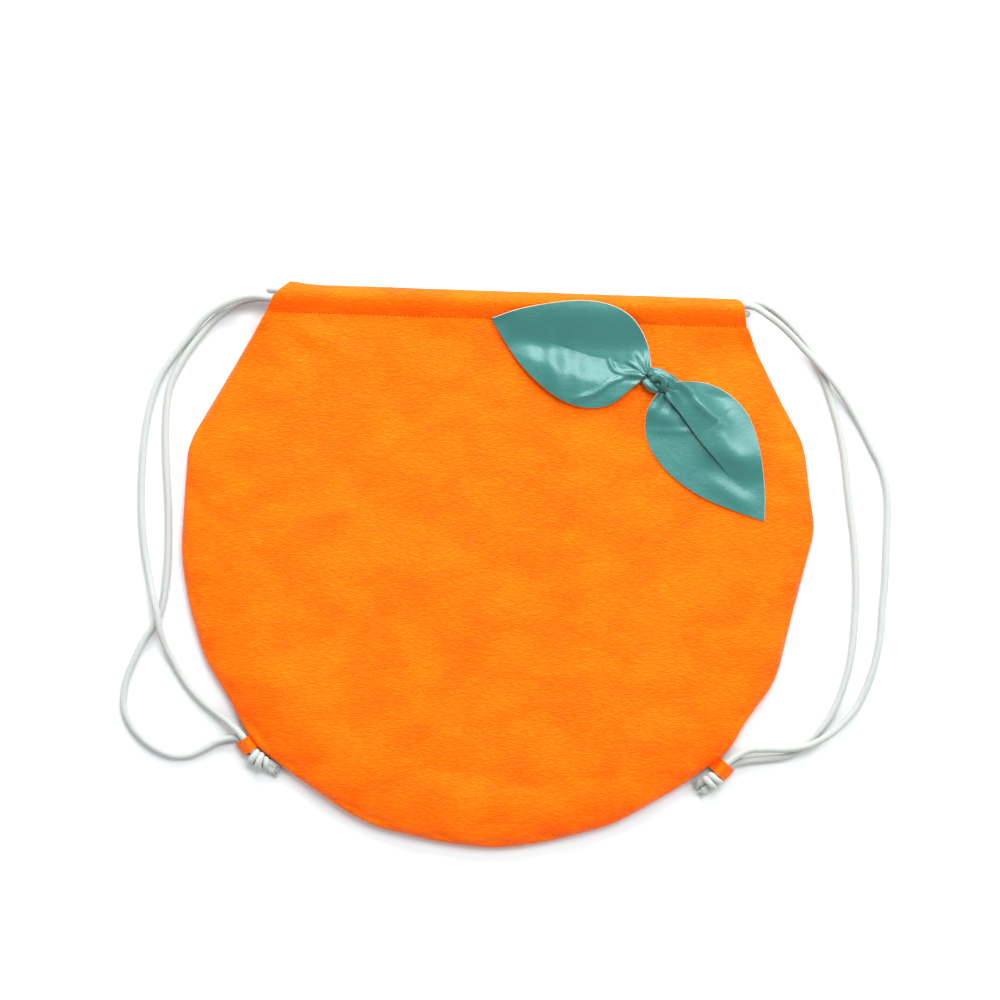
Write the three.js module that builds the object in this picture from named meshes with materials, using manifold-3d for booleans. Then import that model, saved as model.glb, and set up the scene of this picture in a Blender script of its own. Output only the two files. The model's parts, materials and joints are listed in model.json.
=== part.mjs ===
// A child's drawstring backpack cut in the shape of an orange, lying flat on its back.
//
// Millimetres. +X runs across the bag, +Y runs up to its mouth, and +Z comes out of its front.
// The origin is under the middle of the bag's outline, on the surface that the bag lies on.
//
// Two sheets of coated fabric meet at a seam round the sides and the bottom. The top edge of each is
// folded over and stitched into a hem, and two cotton drawcords run through both hems: each cord enters
// from its own side, turns back round the far end, and its two free strands go down to a loop of
// leather in the side seam, where they are knotted together.
import * as THREE from 'three';
import * as BufferGeometryUtils from 'three/addons/utils/BufferGeometryUtils.js';
import Module from 'manifold-3d';

const wasm = await Module();
wasm.setup();

// ---------------------------------------------------------------- driving dimensions

const LEATHER = 1.1;                  // thickness of the coated fabric
const GAP = 0.3;                      // clearance between pieces that touch
const CORD_RADIUS = 2.15;
const CORD_SIDES = 8;

const SEAM_Z = 3.5;                   // height of the side seam
const FRONT_Z = 15.2;                 // outer face of the front sheet
const BACK_CURL = 8;                  // width of the curved edge of the back sheet
const FRONT_CURL = 24;                // width of the curved edge of the front sheet
const CURL_STEPS = 4;
const FOLD_Y = -20;                   // the front sheet bends here when the mouth opens

const HEM_Y = 148.17;                 // the hem's stitch line, where it crosses x = 0
const HEM_TILT = THREE.MathUtils.degToRad(-1.94);
const HEM_LEFT = -129.6;              // ends of the hem, measured along the stitch line
const HEM_RIGHT = 141.1;
const HEM_DEPTH = 16.6;               // stitch line to the top edge
const HEM_ALLOWANCE = 2.5;            // sewn margin below the stitch line
const HEM_HEIGHT = 7.5;
const BACK_HEM_RISE = 0.5;            // the back sheet stands a little higher than the front one
const FRONT_HEM_Z = FRONT_Z - LEATHER;
const LANE_SPACING = 4.9;             // between the two cords inside a hem
const LANE_Z = HEM_HEIGHT / 2;        // cord centre above the underside of a hem
const LANE_MIDDLE = HEM_DEPTH - HEM_HEIGHT / 2 - LANE_SPACING / 2;

const THREAD = 0.8;
const SEAM_THREAD_INSET = 2.8;
const SEAM_THREAD_Z = 4.7;

const TAB_LENGTH = 8.6;               // along the seam
const TAB_WALL = 0.7;
const TAB_HOLE_RADIUS = 2.35;
const TAB_TAIL = 6;                   // how far the tab is sewn into the seam
const TAB_STRANDS = [[3.4, 6.8], [6.3, 3.1]];   // cord centres in a tab: distance from seam, height

const LEAF_THICKNESS = 1.2;
const LEAF_Z = FRONT_Z + 0.4;
const LEAF_KNOT = new THREE.Vector3(95.9, 109.6, 21.5);
const LEAF_KNOT_RADII = new THREE.Vector3(11.5, 7.2, 5.4);
const LEAF_KNOT_TURN = THREE.MathUtils.degToRad(-20);
const LEAF_TILT = THREE.MathUtils.degToRad(7.4);    // the upper leaf rises over the hem
const LEAF_TILT_Y = 95;

const KNOT_RADII = new THREE.Vector3(6, 5.4, 5);
const TAIL_LENGTH = 7;
const BIG = 600;                      // larger than the bag, for cutting blocks

// The sewn outline of the bag, from the left end of the mouth round the bottom to the right end.
// The sides are cut as straight runs with corners. It is carried up past the hem, which cuts it off.
const OUTLINE = [
  [-119.1, 185], [-133.8, 160.5], [-182.4, 79.5], [-186, 69.9], [-187.8, 44.7], [-190.2, 7.5],
  [-185.4, -22.5], [-176.4, -54.3], [-162, -77.7], [-150.6, -99.9], [-144, -108.9], [-124.8, -123.3],
  [-91.8, -146.7], [-73.2, -156.3], [-34.8, -165.3], [-1.8, -169.2], [28.2, -165.3], [68.4, -155.1],
  [109.8, -131.7], [139.2, -110.1], [148.2, -93.3], [166.8, -68.7], [175.8, -30.9], [184.8, 2.7],
  [190.2, 21.9], [187.2, 41.7], [183.6, 73.5], [171.6, 95.1], [154.8, 128.7], [148.2, 145.5],
  [146.5, 185],
];

const UPPER_LEAF_TIP = [-3.9, 148.1];
const UPPER_LEAF_TOP = [[12.2, 153.3], [35.1, 157.6], [52.3, 158.4], [67.2, 156.1], [78.7, 149.8],
  [86.8, 140.1], [90.8, 125]];
const UPPER_LEAF_NECK = [[89, 114.5], [86, 110]];
const UPPER_LEAF_BOTTOM = [[79.8, 105], [67.2, 96.1], [56.9, 95], [46.6, 96.4], [35.1, 101.8],
  [23.6, 111.3], [12.2, 124.5]];

const LOWER_LEAF_TIP = [158.9, 27.2];
const LOWER_LEAF_RIGHT = [[158.5, 44.2], [156.8, 61.4], [153.4, 77.5], [147.6, 91.3], [138.4, 101.6],
  [127, 107.9], [115.4, 110.2]];
const LOWER_LEAF_NECK = [[105, 109], [97, 104.5]];
const LOWER_LEAF_LEFT = [[90.2, 95.8], [88.1, 86.6], [89.6, 75.2], [95.9, 63.7], [106.3, 52.2],
  [121.2, 41.9], [138.4, 34.4]];

// The middle of each tab's seam edge, the direction out of the bag there, and the way its knot's
// tails point, both in degrees from +X.
const LEFT_TAB = { edge: [-147, -104.6], out: -145.6, tails: -64 };
const RIGHT_TAB = { edge: [131.9, -119], out: -43.1, tails: -138 };

// Each free strand, from its hem to the mouth of its tab. The front strands come down from the front
// hem and cross over the back strands, and the rest lies on the surface under the bag.
const FLOOR = 2.25;                   // cord centre where the cord lies on the surface
const LEFT_FRONT_STRAND = [
  [-130.1, 160.5, 17.85], [-137, 160.9, 17.3], [-145, 161.9, 15.4], [-156.2, 160.2, 11.6],
  [-167.8, 155.1, 7.6], [-177, 148.5, 4.8], [-185.3, 138.4, 3], [-194.5, 127, FLOOR],
  [-202.2, 115.5, FLOOR], [-206.8, 104, FLOOR], [-209.8, 92.5, FLOOR], [-212.2, 77.2, FLOOR],
  [-213.4, 61.9, FLOOR], [-214, 39.6, FLOOR], [-213.5, 25.1, FLOOR], [-212.1, 10.6, FLOOR],
  [-209.5, -4, 3.6], [-206.6, -18.5, 6.4], [-204.2, -28.2, 7.3], [-202.5, -38.5, 6.4],
  [-199, -48.8, 4], [-194.2, -57.8, 2.6], [-188.7, -67.4, FLOOR], [-182.5, -75.7, FLOOR],
  [-175.6, -82.6, 2.5], [-168.2, -88.4, 3.4], [-161, -94, 4.8],
];
const LEFT_BACK_STRAND = [
  [-130.1, 161, 3.75], [-137, 161, 3.7], [-146, 160.9, 3.5], [-157, 157.5, 3.1],
  [-168.6, 149.9, 2.6], [-177.7, 140, FLOOR], [-186.9, 127.7, FLOOR], [-193, 117, FLOOR],
  [-196.8, 107.8, FLOOR], [-198.7, 96.4, FLOOR], [-199.5, 81.1, FLOOR], [-199.1, 61.9, FLOOR],
  [-197.9, 39.6, FLOOR], [-197.7, 25.1, FLOOR], [-197.9, 10.5, FLOOR], [-198.6, -4, FLOOR],
  [-200.5, -18.5, FLOOR], [-203, -28, FLOOR], [-206.6, -35.3, FLOOR], [-212.2, -43.3, FLOOR],
  [-218.3, -55.7, FLOOR], [-222.5, -66.1, FLOOR], [-224.5, -76.4, FLOOR], [-224.5, -84.7, FLOOR],
  [-221.5, -92.9, FLOOR], [-214.9, -101.9, FLOOR], [-205.3, -109.4, FLOOR], [-194.2, -113.6, FLOOR],
  [-184.6, -112.9, FLOOR], [-175.6, -108.8, FLOOR], [-167.3, -104.4, 2.6],
];
const RIGHT_BACK_STRAND = [
  [142.2, 156.7, 3.75], [147, 157.5, 3.6], [153, 158.6, 3.2], [158.5, 157.7, 2.8], [164.6, 154.7, 2.5],
  [171.9, 148.9, FLOOR], [179.2, 141.6, FLOOR], [185.7, 133.6, FLOOR], [190.1, 125.6, FLOOR],
  [193.7, 117.6, FLOOR], [197.3, 108.2, FLOOR], [201, 96.5, FLOOR], [204.6, 83.5, FLOOR],
  [207.5, 68.9, FLOOR], [209.8, 47.9, FLOOR], [211.7, 32.6, FLOOR], [213.6, 17.3, FLOOR],
  [214.7, 2, FLOOR], [215, -13.3, FLOOR], [214.4, -28.6, FLOOR], [212, -53.5, FLOOR],
  [208, -69.5, FLOOR], [202.4, -84, FLOOR], [195.1, -96, FLOOR], [188.2, -104, FLOOR],
  [181.5, -109.8, FLOOR], [173, -113.8, FLOOR], [161.4, -115.4, FLOOR], [151.2, -116.2, 2.7],
];
const RIGHT_FRONT_STRAND = [
  [142.2, 156.2, 17.85], [147.9, 155.9, 17.1], [154.3, 153.7, 14.8], [161, 149.6, 12.2],
  [168.3, 144.5, 9.8], [175.6, 138, 8], [182.8, 130.7, 7.4], [190.1, 123.4, 7.3],
  [197.3, 115.4, 7], [204.6, 106, 5.4], [211.9, 95.1, 3.4], [219.2, 82, FLOOR],
  [225, 70.4, FLOOR], [229.7, 60.9, FLOOR], [233.1, 47.9, FLOOR], [233.9, 34.9, FLOOR],
  [233.5, 21.1, FLOOR], [232.9, 5.8, FLOOR], [232.3, -9.5, FLOOR], [230.8, -24.8, FLOOR],
  [229.8, -39.3, FLOOR], [227.3, -53.5, FLOOR], [222.4, -69.5, FLOOR], [215.2, -84, 2.6],
  [205.6, -95.2, 4.6], [196.4, -102.2, 6.4], [185.5, -107.4, 7], [173.4, -109.4, 6.6],
  [160.5, -109.4, 6], [150, -110.2, 5.8],
];

// ---------------------------------------------------------------- materials

function finish(color, roughness) {
  return new THREE.MeshStandardMaterial({ color, roughness, metalness: 0 });
}

const orangeLeather = finish(0xfc830f, 0.55);
const greenLeather = finish(0x5faea4, 0.3);
const cotton = finish(0xf2f0ea, 0.9);
const orangeThread = finish(0xf07a14, 0.8);
const greenThread = finish(0x4a8f86, 0.8);

// ---------------------------------------------------------------- solids

function toSolid(geometry) {
  const bare = geometry.clone();
  bare.deleteAttribute('normal');
  bare.deleteAttribute('uv');
  const merged = BufferGeometryUtils.mergeVertices(bare, 1e-4);
  const vertProperties = new Float32Array(merged.attributes.position.array);
  const triVerts = new Uint32Array(merged.index.array);
  return new wasm.Manifold(new wasm.Mesh({ numProp: 3, vertProperties, triVerts }));
}

function toGeometry(solid) {
  const cut = solid.getMesh();
  const geometry = new THREE.BufferGeometry();
  geometry.setAttribute('position', new THREE.BufferAttribute(cut.vertProperties, 3));
  geometry.setIndex(new THREE.BufferAttribute(cut.triVerts, 1));
  geometry.computeVertexNormals();
  return geometry;
}

function boxGeometry(low, high) {
  const size = high.map((value, axis) => value - low[axis]);
  const middle = high.map((value, axis) => (value + low[axis]) / 2);
  return new THREE.BoxGeometry(...size).translate(...middle);
}

function box(low, high) {
  return toSolid(boxGeometry(low, high));
}

function points2(list) {
  return list.map(([x, y]) => new THREE.Vector2(x, y));
}

// The bag's outline moved in by `inset`, as an upright prism.
function insetPrism(inset, low, high) {
  const geometry = new THREE.ExtrudeGeometry(new THREE.Shape(points2(OUTLINE)), {
    depth: high - low, bevelEnabled: true, bevelThickness: 0, bevelSize: 0, bevelSegments: 0,
    bevelOffset: -inset,
  });
  return toSolid(geometry.translate(0, 0, low));
}

// The bag's outline as a cushion, `inset` in at the seam, whose edges curl over `curl` in width and
// `height` in height, above and below the seam.
function cushion(inset, curl, height) {
  const geometry = new THREE.ExtrudeGeometry(new THREE.Shape(points2(OUTLINE)), {
    depth: GAP, bevelEnabled: true, bevelThickness: height - GAP / 2, bevelSize: curl,
    bevelSegments: CURL_STEPS, bevelOffset: -curl - inset,
  });
  return toSolid(geometry.translate(0, 0, SEAM_Z - GAP / 2));
}

function tube(points, radius = CORD_RADIUS, sides = CORD_SIDES, steps = points.length - 1) {
  const section = [];
  for (let side = 0; side < sides; side += 1) {
    const angle = (2 * Math.PI * side) / sides;
    section.push(new THREE.Vector2(radius * Math.cos(angle), radius * Math.sin(angle)));
  }
  const path = new THREE.CatmullRomCurve3(points, false, 'centripetal');
  return new THREE.ExtrudeGeometry(new THREE.Shape(section), { steps, extrudePath: path });
}

// ---------------------------------------------------------------- scene graph

const bag = new THREE.Group();
bag.name = 'drawstring_backpack';

// Everything sewn along the mouth is built in this frame: X along the stitch line, Y up the hem.
const hemFrame = new THREE.Group();
hemFrame.position.y = HEM_Y;
hemFrame.rotation.z = HEM_TILT;
bag.add(hemFrame);
hemFrame.updateMatrixWorld(true);

function place(name, geometry, material, parent = bag) {
  const mesh = new THREE.Mesh(geometry, material);
  mesh.name = name;
  parent.add(mesh);
  return mesh;
}

// ---------------------------------------------------------------- front and back sheets

function belowHem() {
  const low = [-BIG, -BIG, -BIG];
  const high = [BIG, -HEM_ALLOWANCE - GAP, BIG];
  return toSolid(boxGeometry(low, high).applyMatrix4(hemFrame.matrixWorld));
}

function tabFrame(tab) {
  const turn = new THREE.Matrix4().makeRotationZ(THREE.MathUtils.degToRad(tab.out));
  return turn.setPosition(tab.edge[0], tab.edge[1], 0);
}

// The slit in the seam through which a tab's tail goes.
function tabSlit(tab) {
  const half = TAB_LENGTH / 2 + GAP;
  const low = [-TAB_TAIL - GAP, -half, SEAM_Z - TAB_WALL - GAP];
  const high = [1, half, SEAM_Z + TAB_WALL + GAP];
  return toSolid(boxGeometry(low, high).applyMatrix4(tabFrame(tab)));
}

function sheetShell(curl, height) {
  return cushion(0, curl, height)
    .subtract(cushion(LEATHER, curl, height - LEATHER))
    .intersect(belowHem())
    .subtract(tabSlit(LEFT_TAB))
    .subtract(tabSlit(RIGHT_TAB));
}

function tackHole() {
  const radius = 1.4;
  const hole = new THREE.CylinderGeometry(radius, radius, 6, 12).rotateX(Math.PI / 2);
  return toSolid(hole.translate(LEAF_KNOT.x, LEAF_KNOT.y, FRONT_Z));
}

function addSheets() {
  const back = sheetShell(BACK_CURL, SEAM_Z).intersect(box([-BIG, -BIG, -1], [BIG, BIG, SEAM_Z - GAP / 2]));
  place('back_panel', toGeometry(back), orangeLeather);
  const front = sheetShell(FRONT_CURL, FRONT_Z - SEAM_Z);
  const seamTop = SEAM_Z + GAP / 2;
  const lower = front.intersect(box([-BIG, -BIG, seamTop], [BIG, FOLD_Y - GAP / 2, BIG]));
  place('front_panel', toGeometry(lower), orangeLeather);
  const upper = front.intersect(box([-BIG, FOLD_Y + GAP / 2, seamTop], [BIG, BIG, BIG]));
  place('front_flap', toGeometry(upper.subtract(tackHole())), orangeLeather);
}

function addSeamThread() {
  const top = SEAM_THREAD_Z + THREAD;
  const thread = insetPrism(SEAM_THREAD_INSET, SEAM_THREAD_Z, top)
    .subtract(insetPrism(SEAM_THREAD_INSET + THREAD, SEAM_THREAD_Z - 1, top + 1))
    .intersect(belowHem());
  place('side_seam_thread', toGeometry(thread), orangeThread);
}

// ---------------------------------------------------------------- hems

// The hem's section: a sewn margin of two layers, then the folded channel that holds the cords side
// by side. It is drawn across the hem and upwards, and extruded along the hem.
function hemSection() {
  const radius = HEM_HEIGHT / 2;
  const lower = LANE_MIDDLE - LANE_SPACING / 2;
  const upper = LANE_MIDDLE + LANE_SPACING / 2;
  const section = new THREE.Shape();
  section.moveTo(-HEM_ALLOWANCE, 0);
  section.lineTo(upper, 0);
  section.absarc(upper, radius, radius, -Math.PI / 2, Math.PI / 2, false);
  section.absarc(lower, radius, radius, Math.PI / 2, Math.PI * 1.08, false);
  section.lineTo(lower - radius - 1.2, 2 * LEATHER);
  section.lineTo(-HEM_ALLOWANCE, 2 * LEATHER);
  const inner = radius - LEATHER;
  const channel = new THREE.Path();
  channel.absarc(upper, radius, inner, -Math.PI / 2, Math.PI / 2, false);
  channel.absarc(lower, radius, inner, Math.PI / 2, Math.PI * 1.5, false);
  section.holes.push(channel);
  return section;
}

function alongX(geometry) {
  const across = new THREE.Vector3(0, 1, 0);
  const upwards = new THREE.Vector3(0, 0, 1);
  const along = new THREE.Vector3(1, 0, 0);
  return geometry.applyMatrix4(new THREE.Matrix4().makeBasis(across, upwards, along));
}

function addHem(side, rise, z) {
  const length = HEM_RIGHT - HEM_LEFT;
  const hem = new THREE.ExtrudeGeometry(hemSection(), { depth: length, bevelEnabled: false, curveSegments: 8 });
  place(`${side}_casing`, alongX(hem).translate(HEM_LEFT, rise, z), orangeLeather, hemFrame);
  const margin = 4;
  const threadZ = z + 2 * LEATHER + GAP;
  const low = [HEM_LEFT + margin, rise - THREAD / 2, threadZ];
  const high = [HEM_RIGHT - margin, rise + THREAD / 2, threadZ + 0.6];
  place(`${side}_casing_stitching`, boxGeometry(low, high), orangeThread, hemFrame);
}

// ---------------------------------------------------------------- cord tabs

// A strip of leather folded round both strands of a cord and sewn into the side seam. It is drawn
// out from the seam and upwards, and extruded along the seam.
function tabSection(radius) {
  const [[innerX, innerZ], [outerX, outerZ]] = TAB_STRANDS;
  const slope = Math.atan2(outerZ - innerZ, outerX - innerX);
  const section = new THREE.Shape();
  section.absarc(outerX, outerZ, radius, slope - Math.PI / 2, slope + Math.PI / 2, false);
  section.absarc(innerX, innerZ, radius, slope + Math.PI / 2, slope + Math.PI * 1.5, false);
  return section;
}

function tabPrism(radius, length) {
  const prism = new THREE.ExtrudeGeometry(tabSection(radius), {
    depth: length, bevelEnabled: false, curveSegments: 8,
  });
  prism.translate(0, 0, -length / 2);
  return toSolid(prism.rotateX(Math.PI / 2));
}

function addTab(name, tab) {
  const half = TAB_LENGTH / 2;
  const reach = TAB_STRANDS[0][0];
  const tail = box([-TAB_TAIL, -half, SEAM_Z - TAB_WALL], [reach, half, SEAM_Z + TAB_WALL]);
  const solid = tabPrism(TAB_HOLE_RADIUS + TAB_WALL, TAB_LENGTH)
    .add(tail)
    .subtract(tabPrism(TAB_HOLE_RADIUS, TAB_LENGTH + 2));
  place(name, toGeometry(solid).applyMatrix4(tabFrame(tab)), orangeLeather);
}

// ---------------------------------------------------------------- drawcords

function straightRun(name, lane, rise, z) {
  const length = HEM_RIGHT - HEM_LEFT;
  const run = new THREE.CylinderGeometry(CORD_RADIUS, CORD_RADIUS, length, CORD_SIDES);
  run.rotateZ(Math.PI / 2).translate((HEM_LEFT + HEM_RIGHT) / 2, lane + rise, z);
  place(name, run, cotton, hemFrame);
}

// The half turn from the front hem to the back hem, round the outside of their far end.
function turnLoop(name, lane, end, direction) {
  const radius = FRONT_HEM_Z / 2;
  const middle = LANE_Z + radius;
  const steps = 10;
  const points = [];
  for (let step = 0; step <= steps; step += 1) {
    const angle = Math.PI * (step / steps - 0.5);
    const x = end + direction * (2 * GAP + radius * Math.cos(angle));
    const y = lane + BACK_HEM_RISE * (0.5 - step / steps);
    points.push(new THREE.Vector3(x, y + BACK_HEM_RISE / 2, middle + radius * Math.sin(angle)));
  }
  place(name, tube(points), cotton, hemFrame);
}

// A strand that never sinks below the surface between its points. The last point is left to the
// tab: the strand goes straight through it and ends at the knot.
class FloorCurve extends THREE.CatmullRomCurve3 {
  getPoint(t, target) {
    const point = super.getPoint(t, target);
    point.z = Math.max(point.z, FLOOR);
    return point;
  }
}

function throughTab(tab, strand) {
  const [out, height] = TAB_STRANDS[strand];
  const along = tab === LEFT_TAB ? 1 : -1;
  return [-6, 0, 5].map((distance) => {
    const point = new THREE.Vector3(out, along * distance, height);
    return point.applyMatrix4(tabFrame(tab));
  });
}

function addStrand(name, route, tab, strand) {
  const points = route.map((point) => new THREE.Vector3(...point)).concat(throughTab(tab, strand));
  const section = [];
  for (let side = 0; side < CORD_SIDES; side += 1) {
    const angle = (2 * Math.PI * (side + 0.5)) / CORD_SIDES;
    section.push(new THREE.Vector2(CORD_RADIUS * Math.cos(angle), CORD_RADIUS * Math.sin(angle)));
  }
  const path = new FloorCurve(points, false, 'centripetal');
  const strandGeometry = new THREE.ExtrudeGeometry(new THREE.Shape(section), { steps: 36, extrudePath: path });
  place(name, strandGeometry, cotton);
}

function addKnot(side, tab) {
  const along = tab === LEFT_TAB ? 1 : -1;
  const out = (TAB_STRANDS[0][0] + TAB_STRANDS[1][0]) / 2;
  const centre = new THREE.Vector3(out, along * (5 + GAP + KNOT_RADII.x), KNOT_RADII.z + 0.4);
  centre.applyMatrix4(tabFrame(tab));
  const knot = new THREE.SphereGeometry(1, 14, 8);
  knot.scale(KNOT_RADII.y, KNOT_RADII.x, KNOT_RADII.z).rotateZ(THREE.MathUtils.degToRad(tab.out));
  place(`${side}_knot`, knot.translate(centre.x, centre.y, centre.z), cotton);
  const angle = THREE.MathUtils.degToRad(tab.tails);
  const forward = new THREE.Vector3(Math.cos(angle), Math.sin(angle), 0);
  const sideways = new THREE.Vector3(-forward.y, forward.x, 0);
  for (const [index, offset] of [-2.4, 2.4].entries()) {
    const start = centre.clone().addScaledVector(sideways, offset).addScaledVector(forward, KNOT_RADII.x + GAP);
    start.z = FLOOR;
    const end = start.clone().addScaledVector(forward, TAIL_LENGTH);
    place(`${side}_cord_tail_${index + 1}`, tube([start, end]), cotton);
  }
}

function addCord(side, tab, lane, loopEnd, routes) {
  const backZ = LANE_Z;
  const frontZ = FRONT_HEM_Z + LANE_Z;
  straightRun(`${side}_cord_front_run`, lane, 0, frontZ);
  straightRun(`${side}_cord_back_run`, lane, BACK_HEM_RISE, backZ);
  const direction = side === 'left' ? 1 : -1;
  turnLoop(`${side}_cord_loop`, lane, loopEnd, direction);
  addStrand(`${side}_cord_front_strand`, routes.front, tab, 0);
  addStrand(`${side}_cord_back_strand`, routes.back, tab, 1);
  addKnot(side, tab);
}

// ---------------------------------------------------------------- leaves

function leafShape(tip, firstSide, neck, secondSide) {
  const shape = new THREE.Shape();
  shape.moveTo(...tip);
  shape.splineThru(points2(firstSide));
  shape.lineTo(...neck[0]);
  shape.lineTo(...neck[1]);
  shape.splineThru(points2(secondSide));
  return shape;
}

function leafPlate(shape) {
  return new THREE.ExtrudeGeometry(shape, { depth: LEAF_THICKNESS, bevelEnabled: false, curveSegments: 3 });
}

function knotLump(extra) {
  const lump = new THREE.SphereGeometry(1, 20, 12);
  const radii = LEAF_KNOT_RADII.clone().addScalar(extra);
  lump.scale(radii.x, radii.y, radii.z).rotateZ(LEAF_KNOT_TURN);
  return lump.translate(LEAF_KNOT.x, LEAF_KNOT.y, LEAF_KNOT.z);
}

function addLeaves() {
  const room = toSolid(knotLump(GAP + 0.1));
  const upper = leafPlate(leafShape(UPPER_LEAF_TIP, UPPER_LEAF_TOP, UPPER_LEAF_NECK, UPPER_LEAF_BOTTOM));
  upper.translate(0, -LEAF_TILT_Y, 0).rotateX(LEAF_TILT).translate(0, LEAF_TILT_Y, LEAF_Z);
  place('leaf_upper', toGeometry(toSolid(upper).subtract(room)), greenLeather);
  const lower = leafPlate(leafShape(LOWER_LEAF_TIP, LOWER_LEAF_RIGHT, LOWER_LEAF_NECK, LOWER_LEAF_LEFT));
  lower.translate(0, 0, LEAF_Z);
  place('leaf_lower', toGeometry(toSolid(lower).subtract(room)), greenLeather);
  place('leaf_knot', knotLump(0), greenLeather);
}

// The stitches that hold the leaves' knot: a head inside the front sheet and a shank through it.
function addLeafTack() {
  const headBottom = FRONT_Z - LEATHER - 1.2;
  const headTop = FRONT_Z - LEATHER - 0.4;
  const shankTop = FRONT_Z + 0.5;
  const profile = points2([[0, headBottom], [2.5, headBottom], [2.5, headTop], [1, headTop],
    [1, shankTop], [0, shankTop]]);
  const tack = new THREE.LatheGeometry(profile, 12).rotateX(Math.PI / 2);
  tack.rotateZ(Math.PI).translate(LEAF_KNOT.x, LEAF_KNOT.y, 0);
  place('leaf_tack', tack, greenThread);
}

// ---------------------------------------------------------------- the bag

addSheets();
addSeamThread();
addHem('back', BACK_HEM_RISE, 0);
addHem('front', 0, FRONT_HEM_Z);
addTab('left_tab', LEFT_TAB);
addTab('right_tab', RIGHT_TAB);
addCord('left', LEFT_TAB, LANE_MIDDLE - LANE_SPACING / 2, HEM_RIGHT,
  { front: LEFT_FRONT_STRAND, back: LEFT_BACK_STRAND });
addCord('right', RIGHT_TAB, LANE_MIDDLE + LANE_SPACING / 2, HEM_LEFT,
  { front: RIGHT_FRONT_STRAND, back: RIGHT_BACK_STRAND });
addLeaves();
addLeafTack();

export default bag;
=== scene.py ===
"""A child's drawstring backpack in the shape of an orange, lying on its back on a pale floor.

Lengths are in metres, in the row frame: +X across the bag, +Y up to its mouth, +Z out of its front.
The two sheets of the bag are one continuous surface each: a ring mesh out to the side seam, carried on
over the stitch line into the folded hem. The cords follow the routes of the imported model.
"""
import json
import math

import bpy
import numpy as np
from mathutils import Matrix, Vector, noise
from numpy.linalg import norm


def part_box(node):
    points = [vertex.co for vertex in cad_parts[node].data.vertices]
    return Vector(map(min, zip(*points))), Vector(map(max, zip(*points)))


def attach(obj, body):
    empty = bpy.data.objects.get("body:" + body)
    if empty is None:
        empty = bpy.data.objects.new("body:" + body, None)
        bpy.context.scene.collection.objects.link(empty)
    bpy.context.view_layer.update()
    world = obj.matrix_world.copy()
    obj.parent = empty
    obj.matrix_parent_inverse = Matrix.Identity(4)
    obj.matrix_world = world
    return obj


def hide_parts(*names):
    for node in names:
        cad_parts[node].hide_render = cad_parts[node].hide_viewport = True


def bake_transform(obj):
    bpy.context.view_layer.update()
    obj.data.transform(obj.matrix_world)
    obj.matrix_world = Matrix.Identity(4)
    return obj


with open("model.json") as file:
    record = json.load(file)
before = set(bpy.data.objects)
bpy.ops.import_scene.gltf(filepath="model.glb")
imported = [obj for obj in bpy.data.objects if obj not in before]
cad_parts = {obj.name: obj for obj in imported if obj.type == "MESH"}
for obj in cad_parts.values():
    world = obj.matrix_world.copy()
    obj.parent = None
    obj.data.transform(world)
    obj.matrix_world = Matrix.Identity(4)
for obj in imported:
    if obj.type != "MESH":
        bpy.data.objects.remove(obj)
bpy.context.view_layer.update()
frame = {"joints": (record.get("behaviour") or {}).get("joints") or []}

# ---- driving dimensions

LEATHER = 0.0011
BACKING_SHARE = 0.55          # the knitted backing starts this far through the cut edge
CORD_RADIUS = 0.00215
CORD_SIDES = 24
BRAID_BUMPS = 6               # bumps round the cord
BRAID_PITCH = 0.0026
BRAID_DEPTH = 0.05            # of the bumps, as a share of the cord's radius
FLOOR = 0.00225               # cord centre where it lies on the floor
THREAD_RADIUS = 0.00032
STITCH_PITCH = 0.0027
STITCH_LENGTH = 0.0018
ON_FLOOR = 0.0001             # the lowest that a piece lies

SEAM_Z = 0.0035
SEAM_GAP = 0.00015            # half the gap between the sheets at the seam
SEAM_INSET = 0.0031           # from the seam's edge in to its stitches
MOUTH_SIDE = 0.016            # the side seam stops this far below the stitch line
FRONT_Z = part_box("front_panel")[1].z
HEM_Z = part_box("front_casing")[0].z          # underside of the front hem
BACK_HEM_RISE = 0.0005
HEM_MARGIN = 0.0022           # height of the sewn layers at the stitch line

ALONG = Vector(next(j["axis"] for j in frame["joints"] if j["name"] == "left_cord_slide"))
STITCH_MIDDLE = (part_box("front_casing_stitching")[0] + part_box("front_casing_stitching")[1]) / 2
STITCH_ORIGIN = STITCH_MIDDLE - ALONG * (STITCH_MIDDLE.x / ALONG.x)
HEM_ENDS = (-0.1296, 0.1411)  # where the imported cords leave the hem, along the stitch line

# The hem's outer face in section: distance above the stitch line, height above the hem's underside.
HEM_SECTION = [
    (0, 0.0022), (0.001, 0.0031), (0.0026, 0.0045), (0.005, 0.0063), (0.0074, 0.0076), (0.0096, 0.0083),
    (0.0114, 0.0082), (0.0132, 0.0075), (0.0148, 0.0063), (0.016, 0.0049), (0.0166, 0.0037),
    (0.0161, 0.0022), (0.015, 0.0009), (0.0128, 0.0001), (0.008, 0), (0.003, 0), (0, 0),
]
HEM_CREST = 0.0083            # the highest point of that section
HEM_ALLOWANCE = 0.0042
HEM_ROWS = 44
# The cut ends of the hem: distance above the stitch line, place along it.
LEFT_END = [(0, -0.1386), (0.0067, -0.1353), (0.0091, -0.1344), (0.0117, -0.1314), (0.0155, -0.1258),
            (0.0166, -0.1246)]
RIGHT_END = [(0, 0.1485), (0.0042, 0.1477), (0.0077, 0.147), (0.0119, 0.1466), (0.0153, 0.1448),
             (0.0166, 0.1415)]
INNER_RIGHT_END = 0.1405      # the inner layers end here, clear of the turning cord

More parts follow.
